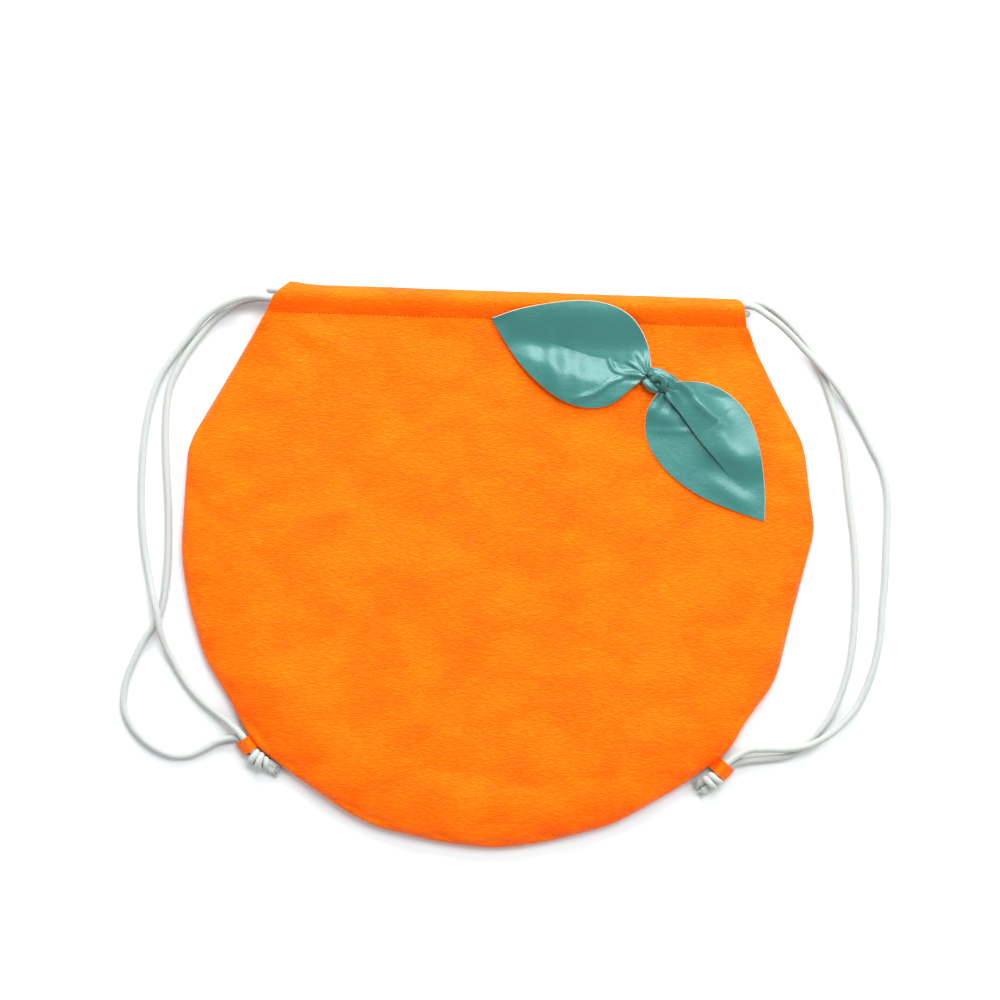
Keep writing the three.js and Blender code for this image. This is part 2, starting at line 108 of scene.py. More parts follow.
# The sewn outline, from the left end of the stitch line round the bottom to the right end.
OUTLINE = [
    (-0.1384, 0.1529), (-0.1824, 0.0795), (-0.186, 0.0699), (-0.1878, 0.0447), (-0.1902, 0.0075),
    (-0.1854, -0.0225), (-0.1764, -0.0543), (-0.162, -0.0777), (-0.1506, -0.0999),
    (-0.144, -0.1089), (-0.1248, -0.1233), (-0.0918, -0.1467), (-0.0732, -0.1563),
    (-0.0348, -0.1653), (-0.0018, -0.1692), (0.0282, -0.1653), (0.0684, -0.1551),
    (0.1098, -0.1317), (0.1392, -0.1101), (0.1482, -0.0933), (0.1668, -0.0687), (0.1758, -0.0309),
    (0.1848, 0.0027), (0.1902, 0.0219), (0.1872, 0.0417), (0.1836, 0.0735), (0.1716, 0.0951),
    (0.1548, 0.1287), (0.1498, 0.1413), (0.1484, 0.1433),
]

# Soft folds of the front sheet: line, half width, height.
FOLDS = [
    ([(-0.032, 0.144), (-0.083, 0.057)], 0.011, -0.0012),
    ([(-0.012, 0.142), (-0.052, 0.062)], 0.012, 0.0005),
    ([(-0.116, 0.142), (-0.083, 0.124)], 0.007, 0.0008),
    ([(-0.126, 0.139), (-0.112, 0.127)], 0.006, -0.0008),
    ([(0.119, -0.093), (0.134, -0.107)], 0.006, -0.001),
    ([(0.122, 0.140), (0.127, 0.122)], 0.008, -0.0012),
    ([(-0.092, -0.141), (-0.039, -0.121), (0.013, -0.130), (0.07, -0.129)], 0.006, -0.0007),
    ([(0.14, 0.09), (0.16, 0.03), (0.15, -0.03)], 0.016, 0.0007),
    ([(-0.15, 0.07), (-0.16, 0.0), (-0.14, -0.06)], 0.014, 0.0006),
    ([(-0.02, 0.02), (0.05, -0.03)], 0.02, -0.0005),
]

# The routes of the free strands, from the hem to the tab. A point without a height lies on the floor.
LEFT_FRONT_STRAND = [
    (-0.1301, 0.1605, 0.01785), (-0.137, 0.1609, 0.0173), (-0.145, 0.1619, 0.0154),
    (-0.1562, 0.1602, 0.0116), (-0.1678, 0.1551, 0.0076), (-0.177, 0.1485, 0.0048),
    (-0.1853, 0.1384, 0.003), (-0.1945, 0.127), (-0.2022, 0.1155), (-0.2068, 0.104), (-0.2098, 0.0925),
    (-0.2122, 0.0772), (-0.2134, 0.0619), (-0.214, 0.0396), (-0.2135, 0.0251), (-0.2121, 0.0106),
    (-0.2095, -0.004, 0.0036), (-0.2066, -0.0185, 0.0064), (-0.2042, -0.0282, 0.0073),
    (-0.2025, -0.0385, 0.0064), (-0.199, -0.0488, 0.004), (-0.1942, -0.0578, 0.0026), (-0.1887, -0.0674),
    (-0.1825, -0.0757), (-0.1756, -0.0826, 0.0025), (-0.1682, -0.0884, 0.0034), (-0.161, -0.094, 0.0048),
]
LEFT_BACK_STRAND = [
    (-0.1301, 0.161, 0.00375), (-0.137, 0.161, 0.0037), (-0.146, 0.1609, 0.0035),
    (-0.157, 0.1575, 0.0031), (-0.1686, 0.1499, 0.0026), (-0.1777, 0.14), (-0.1869, 0.1277),
    (-0.193, 0.117), (-0.1968, 0.1078), (-0.1987, 0.0964), (-0.1995, 0.0811), (-0.1991, 0.0619),
    (-0.1979, 0.0396), (-0.1977, 0.0251), (-0.1979, 0.0105), (-0.1986, -0.004), (-0.2005, -0.0185),
    (-0.203, -0.028), (-0.2066, -0.0353), (-0.2122, -0.0433), (-0.2183, -0.0557), (-0.2225, -0.0661),
    (-0.2245, -0.0764), (-0.2245, -0.0847), (-0.2215, -0.0929), (-0.2149, -0.1019), (-0.2053, -0.1094),
    (-0.1942, -0.1136), (-0.1846, -0.1129), (-0.1756, -0.1088), (-0.1673, -0.1044, 0.0026),
]
RIGHT_BACK_STRAND = [
    (0.1422, 0.1567, 0.00375), (0.147, 0.1575, 0.0036), (0.153, 0.1586, 0.0032), (0.1585, 0.1577, 0.0028),
    (0.1646, 0.1547, 0.0025), (0.1719, 0.1489), (0.1792, 0.1416), (0.1857, 0.1336), (0.1901, 0.1256),
    (0.1937, 0.1176), (0.1973, 0.1082), (0.201, 0.0965), (0.2046, 0.0835), (0.2075, 0.0689),
    (0.2098, 0.0479), (0.2117, 0.0326), (0.2136, 0.0173), (0.2147, 0.002), (0.215, -0.0133),
    (0.2144, -0.0286), (0.212, -0.0535), (0.208, -0.0695), (0.2024, -0.084), (0.1951, -0.096),
    (0.1882, -0.104), (0.1815, -0.1098), (0.173, -0.1138), (0.1614, -0.1154), (0.1512, -0.1162, 0.0027),
]
RIGHT_FRONT_STRAND = [
    (0.1422, 0.1562, 0.0176), (0.1479, 0.1562, 0.018), (0.1543, 0.1545, 0.0209), (0.161, 0.1499, 0.0216),
    (0.1683, 0.1445, 0.0186), (0.1756, 0.138, 0.0142), (0.1828, 0.1307, 0.0104), (0.1901, 0.1234, 0.0082),
    (0.1973, 0.1154, 0.0071), (0.2046, 0.106, 0.0054), (0.2119, 0.0951, 0.0034), (0.2192, 0.082),
    (0.225, 0.0704), (0.2297, 0.0609), (0.2331, 0.0479), (0.2339, 0.0349), (0.2335, 0.0211),
    (0.2329, 0.0058), (0.2323, -0.0095), (0.2308, -0.0248), (0.2298, -0.0393), (0.2273, -0.0535),
    (0.2224, -0.0695), (0.2152, -0.084, 0.0026), (0.2056, -0.0952, 0.0046), (0.1964, -0.1022, 0.0064),
    (0.1855, -0.1074, 0.007), (0.1734, -0.1094, 0.0066), (0.1605, -0.1094, 0.006),
    (0.15, -0.1102, 0.0058),
]

# A cord tab: the middle of its edge on the seam, its direction out of the bag, and the way down the
# seam seen in its own frame.
TABS = {
    "left": {"edge": (-0.147, -0.1046), "out": math.radians(-145.6), "down": 1},
    "right": {"edge": (0.1319, -0.119), "out": math.radians(-43.1), "down": -1},
}
TAB_LENGTH = 0.0086
# Where the front and the back strand pass through a tab: out from the seam, height.
TAB_STRANDS = ((0.0034, 0.0068), (0.0063, 0.0031))

# A knot of wraps below each tab: its middle line, its turns and which way round they go, how far the
# cord's middle is from the line at its start, widest point and end, and where its cut ends point.
KNOTS = {
    "left": {"line": [(-0.1478, -0.1122, 0.0054), (-0.144, -0.116, 0.0056), (-0.1374, -0.119, 0.0044)],
             "turns": 3.0, "hand": -1, "radii": (0.0029, 0.0036, 0.0014), "tails": math.radians(-33),
             "tail_offset": 0.0017},
    "right": {"line": [(0.1318, -0.1257, 0.0052), (0.1285, -0.1282, 0.0054), (0.1251, -0.1303, 0.0046)],
              "turns": 2.0, "hand": 1, "radii": (0.0027, 0.0034, 0.003), "tails": math.radians(-148),
              "tail_offset": 0.0031},
}

MOUTH_FOLD_Y = -0.02          # the front sheet starts to lift here when the mouth opens
MOUTH_FULL_Y = 0.09           # and follows the mouth all the way from here


# ---- curves and fields

CURVE_STEPS = 12              # in each span of a smooth curve


def smoothstep(low, high, value):
    t = np.clip((value - low) / (high - low), 0.0, 1.0)
    return t * t * (3.0 - 2.0 * t)


def smooth_curve(points, step=None, count=None):
    """A centripetal Catmull-Rom curve through the points, evenly spaced."""
    points = np.array(points, float)
    first = 2 * points[0] - points[1]
    last = 2 * points[-1] - points[-2]
    chain = np.vstack([first, points, last])
    steps = norm(np.diff(chain, axis=0), axis=1) ** 0.5
    knots = np.concatenate([[0.0], np.cumsum(steps)])
    spans = []
    for i in range(1, len(chain) - 2):
        p0, p1, p2, p3 = chain[i - 1:i + 3]
        t0, t1, t2, t3 = knots[i - 1:i + 3]
        t = np.linspace(t1, t2, CURVE_STEPS, endpoint=False)[:, None]
        a1 = (t1 - t) / (t1 - t0) * p0 + (t - t0) / (t1 - t0) * p1
        a2 = (t2 - t) / (t2 - t1) * p1 + (t - t1) / (t2 - t1) * p2
        a3 = (t3 - t) / (t3 - t2) * p2 + (t - t2) / (t3 - t2) * p3
        b1 = (t2 - t) / (t2 - t0) * a1 + (t - t0) / (t2 - t0) * a2
        b2 = (t3 - t) / (t3 - t1) * a2 + (t - t1) / (t3 - t1) * a3
        spans.append((t2 - t) / (t2 - t1) * b1 + (t - t1) / (t2 - t1) * b2)
    return resample(np.vstack(spans + [points[-1:]]), step, count)


def lengths_along(curve):
    return np.concatenate([[0.0], np.cumsum(norm(np.diff(curve, axis=0), axis=1))])


def unit(vectors):
    """Each vector at a length of 1."""
    return vectors / np.maximum(norm(vectors, axis=-1, keepdims=True), 1e-12)


def ring_angles(sides):
    return 2 * math.pi * np.arange(sides) / sides


def resample(curve, step=None, count=None):
    """Points evenly spaced along a polyline."""
    curve = np.array(curve, float)
    at = lengths_along(curve)
    count = count or max(2, round(at[-1] / step) + 1)
    wanted = np.linspace(0, at[-1], count)
    return np.stack([np.interp(wanted, at, column) for column in curve.T], 1)


def rounded(points, radius):
    """A polyline with each inner corner replaced by a short curve."""
    points = np.array(points, float)
    result = [points[0]]
    for before, corner, after in zip(points, points[1:], points[2:]):
        back, on = before - corner, after - corner
        cut = min(radius, 0.4 * norm(back), 0.4 * norm(on))
        start, end = corner + unit(back) * cut, corner + unit(on) * cut
        for t in (0.0, 0.25, 0.5, 0.75, 1.0):
            result.append((1 - t) ** 2 * start + 2 * t * (1 - t) * corner + t * t * end)
    return np.array(result + [points[-1]])


def distances(xy, line):
    """The distance from each point to each segment of a polyline."""
    line = np.array(line, float)
    start, step = line[:-1], np.diff(line, axis=0)
    offset = xy[:, None, :] - start[None]
    t = np.clip((offset * step).sum(-1) / (step ** 2).sum(-1), 0.0, 1.0)
    return norm(offset - t[..., None] * step, axis=-1)


def waves(xy, size, seed):
    """Smooth noise between about -1 and 1 whose features are about `size` metres."""
    return np.array([noise.noise(Vector((x / size, y / size, seed))) for x, y in xy])


def hem_point(u, v, z):
    """A point given along the stitch line, above it on the sheet, and in height."""
    x = STITCH_ORIGIN.x + ALONG.x * u - ALONG.y * v
    y = STITCH_ORIGIN.y + ALONG.y * u + ALONG.x * v
    return np.stack([x, y, np.broadcast_to(z, np.shape(x))], -1)


def above_stitches(xy):
    """How far above the stitch line each point is, on the sheet."""
    return (xy[:, 1] - STITCH_ORIGIN.y) * ALONG.x - (xy[:, 0] - STITCH_ORIGIN.x) * ALONG.y


SEWN_EDGE = rounded(OUTLINE, 0.012)
SIDES = np.vstack([hem_point(LEFT_END[-1][1], LEFT_END[-1][0], 0)[:2], SEWN_EDGE,
                   hem_point(RIGHT_END[-1][1], RIGHT_END[-1][0], 0)[:2]])


def lens_weights(points):
    """How far each point of the front follows the opening mouth: all the way in the middle of the hem,
    and not at all at the side seams."""
    across = smoothstep(0.006, 0.116, distances(points[:, :2], SIDES).min(1))
    return smoothstep(MOUTH_FOLD_Y, MOUTH_FULL_Y, points[:, 1]) * across


# ---- meshes

def add_mesh(name, points, faces, materials, indexes=None, flat=None, sharp=None):
    """A smooth piece. `flat` holds the points' own coordinates on the sheet or cord, for its material."""
    mesh = bpy.data.meshes.new(name)
    mesh.from_pydata(np.asarray(points, float).tolist(), [], faces)
    for material in materials:
        mesh.materials.append(material)
    if indexes is not None:
        mesh.polygons.foreach_set("material_index", indexes)
    mesh.polygons.foreach_set("use_smooth", [True] * len(mesh.polygons))
    flat = points if flat is None else flat
    attribute = mesh.attributes.new("flat", "FLOAT_VECTOR", "POINT")
    attribute.data.foreach_set("vector", np.asarray(flat, np.float32).ravel())
    if sharp:
        mesh.set_sharp_from_angle(angle=math.radians(sharp))
    mesh.update()
    piece = bpy.data.objects.new(name, mesh)
    bpy.context.scene.collection.objects.link(piece)
    return piece


def normals_of(points, faces):
    normals = np.zeros_like(points)
    quads = np.array([face if len(face) == 4 else (*face, face[-1]) for face in faces])
    diagonal = points[quads[:, 2]] - points[quads[:, 0]]
    cross = np.cross(diagonal, points[quads[:, 3]] - points[quads[:, 1]])
    triangles = quads[:, 2] == quads[:, 3]
    a, b, c = (points[quads[triangles][:, i]] for i in range(3))
    cross[triangles] = np.cross(b - a, c - a)
    for corner in range(4):
        np.add.at(normals, quads[:, corner], cross)
    return unit(normals)


def open_edges(faces):
    """The edges that belong to one face only."""
    edges = set()
    for face in faces:
        for a, b in zip(face, face[1:] + face[:1]):
            if (b, a) in edges:
                edges.remove((b, a))
            else:
                edges.add((a, b))
    return sorted(edges)


def thick_sheet(name, points, faces, flat, thickness, materials, flare=None, backing=BACKING_SHARE):
    """A sheet whose given face is its outside. The materials are outside, cut edge and inside; the cut
    edge leans outwards by `flare`, given for each point, so that it shows from the front."""
    count = len(points)
    faces = [tuple(int(i) for i in face) for face in faces]
    normals = normals_of(points, faces)
    lean = np.zeros_like(points)
    edges = open_edges(faces)
    if flare is not None:
        for a, b in edges:
            outwards = unit(np.cross(points[b] - points[a], normals[a]))
            lean[a] += outwards * flare[a] / 2
            lean[b] += outwards * flare[b] / 2
    backing = np.broadcast_to(backing, count)[:, None]
    middle = points - normals * thickness * backing + lean * backing
    inside = points - normals * thickness + lean
    rim = sorted({a for edge in edges for a in edge})
    place = {old: count + i for i, old in enumerate(rim)}
    under = count + len(rim)
    all_points = np.vstack([points, middle[rim], inside])
    upper = [(b, a, place[a], place[b]) for a, b in edges]
    lower = [(place[b], place[a], a + under, b + under) for a, b in edges]
    back = [tuple(i + under for i in reversed(face)) for face in faces]
    indexes = [0] * (len(faces) + len(upper)) + [1] * len(lower) + [2] * len(back)
    return add_mesh(name, all_points, faces + upper + lower + back, materials, indexes,
                    np.vstack([flat, flat[rim], flat]), sharp=50)


def tube(path, radii, sides, squash=1.0):
    """The rings of a closed tube along a path. radii has one row for each ring and one column for each
    side, or one value for each ring."""
    path = np.asarray(path, float)
    radii = np.broadcast_to(np.asarray(radii, float).reshape(len(path), -1), (len(path), sides))
    tangents = unit(np.gradient(path, axis=0))
    normal = np.cross(tangents[0], (0, 0, 1)) if abs(tangents[0][2]) < 0.9 else np.array((1.0, 0, 0))
    angles = ring_angles(sides)
    points = np.zeros((len(path), sides, 3))
    for i, (centre, tangent) in enumerate(zip(path, tangents)):
        normal = unit(normal - tangent * np.dot(normal, tangent))
        other = np.cross(tangent, normal)
        spokes = np.outer(np.cos(angles), normal) + squash * np.outer(np.sin(angles), other)
        points[i] = centre + spokes * radii[i][:, None]
    return points.reshape(-1, 3), tube_faces(len(path), sides)


def strips(rows, flip=False):
    """Quads between each row of point numbers and the next."""
    faces = []
    for lower, upper in zip(rows, rows[1:]):
        quads = list(zip(lower, lower[1:], upper[1:], upper))
        faces += [quad[::-1] for quad in quads] if flip else quads
    return faces


def numbered(rows, columns, closed=False):
    """The point numbers of a grid, row by row. A closed row ends on its first point."""
    numbers = np.arange(rows * columns).reshape(rows, columns)
    if closed:
        numbers = np.column_stack([numbers, numbers[:, 0]])
    return numbers.tolist()


def tube_faces(rings, sides):
    last = (rings - 1) * sides
    caps = [tuple(reversed(range(sides))), tuple(range(last, last + sides))]
    return strips(numbered(rings, sides, closed=True)) + caps


def joined(parts):
    """One list of points and one of faces from several."""
    points, faces, start = [], [], 0
    for part_points, part_faces in parts:
        points.append(part_points)
        faces += [tuple(i + start for i in face) for face in part_faces]
        start += len(part_points)
    return np.vstack(points), faces


def capsule(start, end, radius, sides=6):
    """A stitch: a short rounded stroke of thread."""
    start, end = np.array(start, float), np.array(end, float)
    shares = np.array([0.0, 0.08, 0.25, 0.5, 0.75, 0.92, 1.0])
    path = start + shares[:, None] * (end - start)
    return tube(path, radius * np.array([0.3, 0.75, 1.0, 1.05, 1.0, 0.75, 0.3]), sides)


# ---- materials

def nodes_of(material):
    return material.node_tree.nodes, material.node_tree.links


def shader_of(material):
    return material.node_tree.nodes["Principled BSDF"]


def set_inputs(node, values):
    for name, value in values.items():
        node.inputs[name].default_value = value


def base_material(name, colour, roughness, specular, more=None):
    """A material with these settings, and `more` by the names of its shader's inputs."""
    material = bpy.data.materials.new(name)
    material.use_nodes = True
    set_inputs(shader_of(material), {"Base Color": (*colour, 1), "Roughness": roughness,
                                     "Specular IOR Level": specular, **(more or {})})
    return material


def flat_coordinates(material, scale):
    """The sheet's own coordinates, stretched: they stay with the cloth when it bends."""
    nodes, links = nodes_of(material)
    attribute = nodes.new("ShaderNodeAttribute")
    attribute.attribute_name = "flat"
    stretch = nodes.new("ShaderNodeVectorMath")
    stretch.operation = "MULTIPLY"
    stretch.inputs[1].default_value = scale
    links.new(attribute.outputs["Vector"], stretch.inputs[0])
    return stretch.outputs["Vector"]


def noise_texture(material, scale, detail, distortion=0.0):
    nodes, links = nodes_of(material)
    texture = nodes.new("ShaderNodeTexNoise")
    set_inputs(texture, {"Scale": 1.0, "Detail": detail, "Distortion": distortion})
    links.new(flat_coordinates(material, scale), texture.inputs["Vector"])
    return texture.outputs["Fac"]


def wave_texture(material, scale, distortion=0.0, bands="X"):
    nodes, links = nodes_of(material)
    texture = nodes.new("ShaderNodeTexWave")
    texture.bands_direction = bands
    set_inputs(texture, {"Scale": 1.0, "Distortion": distortion})
    links.new(flat_coordinates(material, scale), texture.inputs["Vector"])
    return texture.outputs["Fac"]


def ramp(material, source, stops):
    nodes, links = nodes_of(material)
    node = nodes.new("ShaderNodeValToRGB")
    for element, (place, colour) in zip(node.color_ramp.elements, (stops[0], stops[-1])):
        element.position = place
        element.color = (*colour, 1)
    for place, colour in stops[1:-1]:
        element = node.color_ramp.elements.new(place)
        element.color = (*colour, 1)
    links.new(source, node.inputs["Fac"])
    return node.outputs["Color"]


def multiplied(material, first, second):
    """Two colours multiplied."""
    nodes, links = nodes_of(material)
    node = nodes.new("ShaderNodeMix")
    node.data_type = "RGBA"
    node.blend_type = "MULTIPLY"
    node.inputs[0].default_value = 1.0
    links.new(first, node.inputs[6])
    links.new(second, node.inputs[7])
    return node.outputs[2]


def colour_by(material, source):
    nodes_of(material)[1].new(source, shader_of(material).inputs["Base Color"])


def gloss_by(material, texture, stops):
    """The roughness follows a texture: stops are pairs of a place on its scale and a roughness."""
    grey = ramp(material, texture, [(place, (value, value, value)) for place, value in stops])
    nodes_of(material)[1].new(grey, shader_of(material).inputs["Roughness"])


def add_bump(material, height, strength, distance):
    nodes, links = nodes_of(material)
    node = nodes.new("ShaderNodeBump")
    set_inputs(node, {"Strength": strength, "Distance": distance})
    links.new(height, node.inputs["Height"])
    previous = shader_of(material).inputs["Normal"]
    if previous.is_linked:
        links.new(previous.links[0].from_socket, node.inputs["Normal"])
    links.new(node.outputs["Normal"], previous)


def creases(material, scale, warp):
    """The wavy creases of the grain: 0 in a crease and 1 on the flats between."""
    nodes, links = nodes_of(material)
    bend = nodes.new("ShaderNodeTexNoise")
    set_inputs(bend, {"Scale": 0.8, "Detail": 2})
    links.new(flat_coordinates(material, (scale[0], 1.3 * scale[0], 1)), bend.inputs["Vector"])
    shift = nodes.new("ShaderNodeVectorMath")
    shift.operation = "MULTIPLY_ADD"
    shift.inputs[1].default_value = (0.4 * warp, warp * scale[1] / scale[0], 0)
    links.new(bend.outputs["Color"], shift.inputs[0])
    links.new(flat_coordinates(material, scale), shift.inputs[2])
    cells = nodes.new("ShaderNodeTexVoronoi")
    cells.feature = "DISTANCE_TO_EDGE"
    cells.inputs["Scale"].default_value = 1.0
    links.new(shift.outputs["Vector"], cells.inputs["Vector"])
    return ramp(material, cells.outputs["Distance"], [(0.0, (0, 0, 0)), (0.22, (1, 1, 1))])


def orange_leather():
    """Coated fabric with a fine wavy grain, with painted shade in its creases and in the low places of
    its fine texture.
    """
    material = base_material("orange_leather", (0.95, 0.145, 0.001), 0.46, 0.28, {
        "Specular Tint": (1, 0.5, 0.17, 1), "Sheen Weight": 0.07, "Sheen Roughness": 0.35,
        "Sheen Tint": (1, 0.66, 0.34, 1)})
    grain = creases(material, (150, 780, 1), 0.9)
    fine = noise_texture(material, (230, 950, 1), 3, 0.8)
    patches = noise_texture(material, (26, 42, 1), 2, 0.5)
    # painted shade: the colour darkens where the fine texture, which is also the bump, is low
    fine_texture_shade = ramp(material, fine, [(0.32, (1, 0.84, 0.6)), (0.62, (1, 1, 1))])
    colour = ramp(material, patches, [(0.3, (0.94, 0.117, 0.0005)), (0.7, (0.96, 0.171, 0.0018))])
    # painted shade: the colour darkens in the grain's creases, where the bump is low
    shade = ramp(material, grain, [(0.0, (1, 0.8, 0.5)), (0.9, (1, 1, 1))])
    shade = multiplied(material, shade, fine_texture_shade)
    colour_by(material, multiplied(material, colour, shade))
    gloss_by(material, patches, [(0.25, 0.42), (0.75, 0.54)])
    add_bump(material, grain, 0.7, 0.0003)
    add_bump(material, fine, 0.4, 0.0003)
    return material


def green_leather():
    """Smoother coated fabric with a semi-gloss top and soft wrinkles."""
    material = base_material("green_leather", (0.026, 0.14, 0.121), 0.42, 0.5, {
        "Specular Tint": (0.7, 1, 1, 1), "Coat Weight": 0.6, "Coat Roughness": 0.26})
    patches = noise_texture(material, (22, 22, 1), 3)
    fine = noise_texture(material, (900, 900, 1), 3, 0.4)
    wrinkles = noise_texture(material, (110, 110, 1), 4, 1.4)
    crinkles = creases(material, (260, 420, 1), 1.5)
    colour = ramp(material, patches, [(0.3, (0.023, 0.127, 0.11)), (0.7, (0.03, 0.151, 0.131))])
    colour_by(material, colour)
    gloss_by(material, fine, [(0.2, 0.36), (0.8, 0.48)])
    add_bump(material, wrinkles, 0.35, 0.0007)
    add_bump(material, crinkles, 0.35, 0.00014)
    add_bump(material, fine, 0.25, 0.00008)
    return material


def knitted_backing():
    material = base_material("knitted_backing", (0.62, 0.6, 0.53), 0.9, 0.2)
    ribs = wave_texture(material, (260, 260, 1), 1.5)
    colour = ramp(material, ribs, [(0.0, (0.5, 0.47, 0.4)), (1.0, (0.66, 0.64, 0.57))])
    colour_by(material, colour)
    add_bump(material, ribs, 0.4, 0.0002)
    return material


def cream_edge():
    """The cut edge of a sheet: fuzz of the fabric under the coating."""
    material = base_material("cream_cut_edge", (0.48, 0.43, 0.35), 0.85, 0.2)
    fuzz = noise_texture(material, (1400, 1400, 1), 3)
    colour = ramp(material, fuzz, [(0.3, (0.4, 0.355, 0.28)), (0.7, (0.53, 0.48, 0.39))])
    colour_by(material, colour)
    add_bump(material, fuzz, 0.5, 0.0001)
    return material


def cotton_cord():
    material = base_material("cotton_cord", (0.45, 0.46, 0.44), 0.92, 0.15, {
        "Sheen Weight": 0.25, "Sheen Roughness": 0.5})
    yarns = noise_texture(material, (900, 2600, 1), 4, 0.5)
    soil = noise_texture(material, (28, 90, 1), 2)
    colour = ramp(material, yarns, [(0.3, (0.385, 0.4, 0.38)), (0.7, (0.49, 0.5, 0.475))])
    tint = ramp(material, soil, [(0.35, (0.95, 0.96, 0.95)), (0.65, (1, 1, 1))])
    colour_by(material, multiplied(material, colour, tint))
    add_bump(material, yarns, 0.45, 0.00025)
    return material


def thread(name, dark, light):
    material = base_material(name, light, 0.8, 0.08)
    twist = wave_texture(material, (1200, 1200, 1200), bands="DIAGONAL")
    colour_by(material, ramp(material, twist, [(0.0, dark), (1.0, light)]))
    add_bump(material, twist, 0.4, 0.0001)
    return material


ORANGE = orange_leather()
GREEN = green_leather()
BACKING = knitted_backing()
CREAM = cream_edge()
COTTON = cotton_cord()
ORANGE_THREAD = thread("orange_thread", (0.5, 0.055, 0.001), (0.7, 0.095, 0.002))
GREEN_THREAD = thread("green_thread", (0.03, 0.12, 0.1), (0.06, 0.2, 0.17))
ORANGE_SHEET = (ORANGE, CREAM, BACKING)
GREEN_SHEET = (GREEN, CREAM, BACKING)


# ---- camera, floor and light

CAMERA_HEIGHT = 2.6
FRAME_WIDTH = 0.6             # of the picture, at the height of the side seam
FRAME_MIDDLE = (0.0012, 0.04)
SENSOR = 36.0


def add_camera():
    data = bpy.data.cameras.new("camera")
    data.sensor_width = SENSOR
    data.lens = SENSOR * (CAMERA_HEIGHT - SEAM_Z) / FRAME_WIDTH
    data.clip_end = 20
    camera = bpy.data.objects.new("camera", data)
    camera.location = (*FRAME_MIDDLE, CAMERA_HEIGHT)
    bpy.context.scene.collection.objects.link(camera)
    bpy.context.scene.camera = camera


def add_floor():
    size = 6.0
    corners = [(x, y, -0.0003) for x, y in ((-size, -size), (size, -size), (size, size), (-size, size))]
    material = base_material("pale_floor", (0.73, 0.73, 0.73), 0.9, 0.1)
    tone = noise_texture(material, (3, 3, 1), 2)
    colour = ramp(material, tone, [(0.3, (0.72, 0.72, 0.72)), (0.7, (0.735, 0.735, 0.735))])
    colour_by(material, colour)
    floor = add_mesh("floor", np.array(corners), [(0, 1, 2, 3)], [material])


def add_softbox(name, place, target, size, power, colour=(1, 1, 1)):
    data = bpy.data.lights.new(name, "AREA")
    data.shape = "RECTANGLE"
    data.size, data.size_y = size
    data.energy = power
    data.color = colour
    light = bpy.data.objects.new(name, data)
    light.location = place
    light.rotation_euler = (Vector(target) - Vector(place)).to_track_quat("-Z", "Y").to_euler()
    bpy.context.scene.collection.objects.link(light)


def add_light():
    world = bpy.data.worlds.new("studio")
    world.use_nodes = True
    background = world.node_tree.nodes["Background"]
    background.inputs["Color"].default_value = (1, 1, 1, 1)
    background.inputs["Strength"].default_value = 0.42
    bpy.context.scene.world = world
    middle = (0, 0.03, 0)
    add_softbox("window", (0.4, 0.98, 2.0), middle, (1.3, 0.9), 36, (0.84, 0.97, 1.0))
    add_softbox("far", (0, 1.6, 0.9), middle, (1.6, 0.8), 44)
    add_softbox("near", (0, -1.5, 0.9), middle, (1.2, 0.35), 3)
    add_softbox("left", (-1.5, 0.1, 0.8), middle, (0.6, 0.6), 8)
    add_softbox("right", (1.5, 0.1, 0.8), middle, (0.8, 0.7), 14)
    bpy.context.scene.view_settings.view_transform = "Standard"


add_camera()
add_floor()
add_light()


# ---- how a piece moves


def follow_mouth(piece):
    """A piece of the front is baked in place; the field of the opening mouth is worked out for its points
    but not kept.
    """
    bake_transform(piece)
    points = np.zeros(len(piece.data.vertices) * 3)
    piece.data.vertices.foreach_get("co", points)
    lens_weights(points.reshape(-1, 3))


def finished(piece, body, slot, *nodes):
    """The piece moves with a body and replaces its CAD nodes, which are hidden; slot is not used.
    A piece on "front_mouth" is only baked in place."""
    if body == "front_mouth":
        follow_mouth(piece)
    else:
        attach(piece, body)
    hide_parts(*nodes)
    return piece


# ---- cords

INSIDE_HEM = 0.009            # how much of a strand or loop is hidden in the end of the hem
RUN_GAP = 0.001               # between the hidden ends of two runs
SLIDE_ROOM = 0.007            # gap in the hidden front run, which a sliding strand moves into
LOOP_GAP = 0.0006             # from the end of the hem to the turn of the cord
LOOP_STEPS = 12
STRAND_STEP = 0.0004          # between the rings of a strand or knot
STRAND_BEND = (0.014, 0.09)   # a sliding strand bends over this stretch, and is still beyond it
KNOT_REACH = 0.0085           # from a tab's middle down the seam to its knot
TAIL_LENGTH = 0.0085
TAIL_FIBRES = 46


def tab_point(side, out, along, height):
    """A point in a tab's own frame: out of the bag, down the seam, and in height."""
    tab = TABS[side]
    turn = Matrix.Rotation(tab["out"], 3, "Z")
    local = turn @ Vector((out, along * tab["down"], height))
    return np.array(local) + np.array((*tab["edge"], 0))


def knot_line(side):
    return smooth_curve(KNOTS[side]["line"], count=160)


def strand_path(side, route, start, through):
    """From inside the hem along the route, through the tab and into the knot."""
    out, height = through
    points = [start] + list(route)
    points += [tab_point(side, out, along, height) for along in (-0.006, 0.0, 0.005)]
    points.append((tab_point(side, out, KNOT_REACH, height) + knot_line(side)[50]) / 2)
    path = smooth_curve(points, STRAND_STEP)
    path[:, 2] = np.maximum(path[:, 2], FLOOR)
    return path


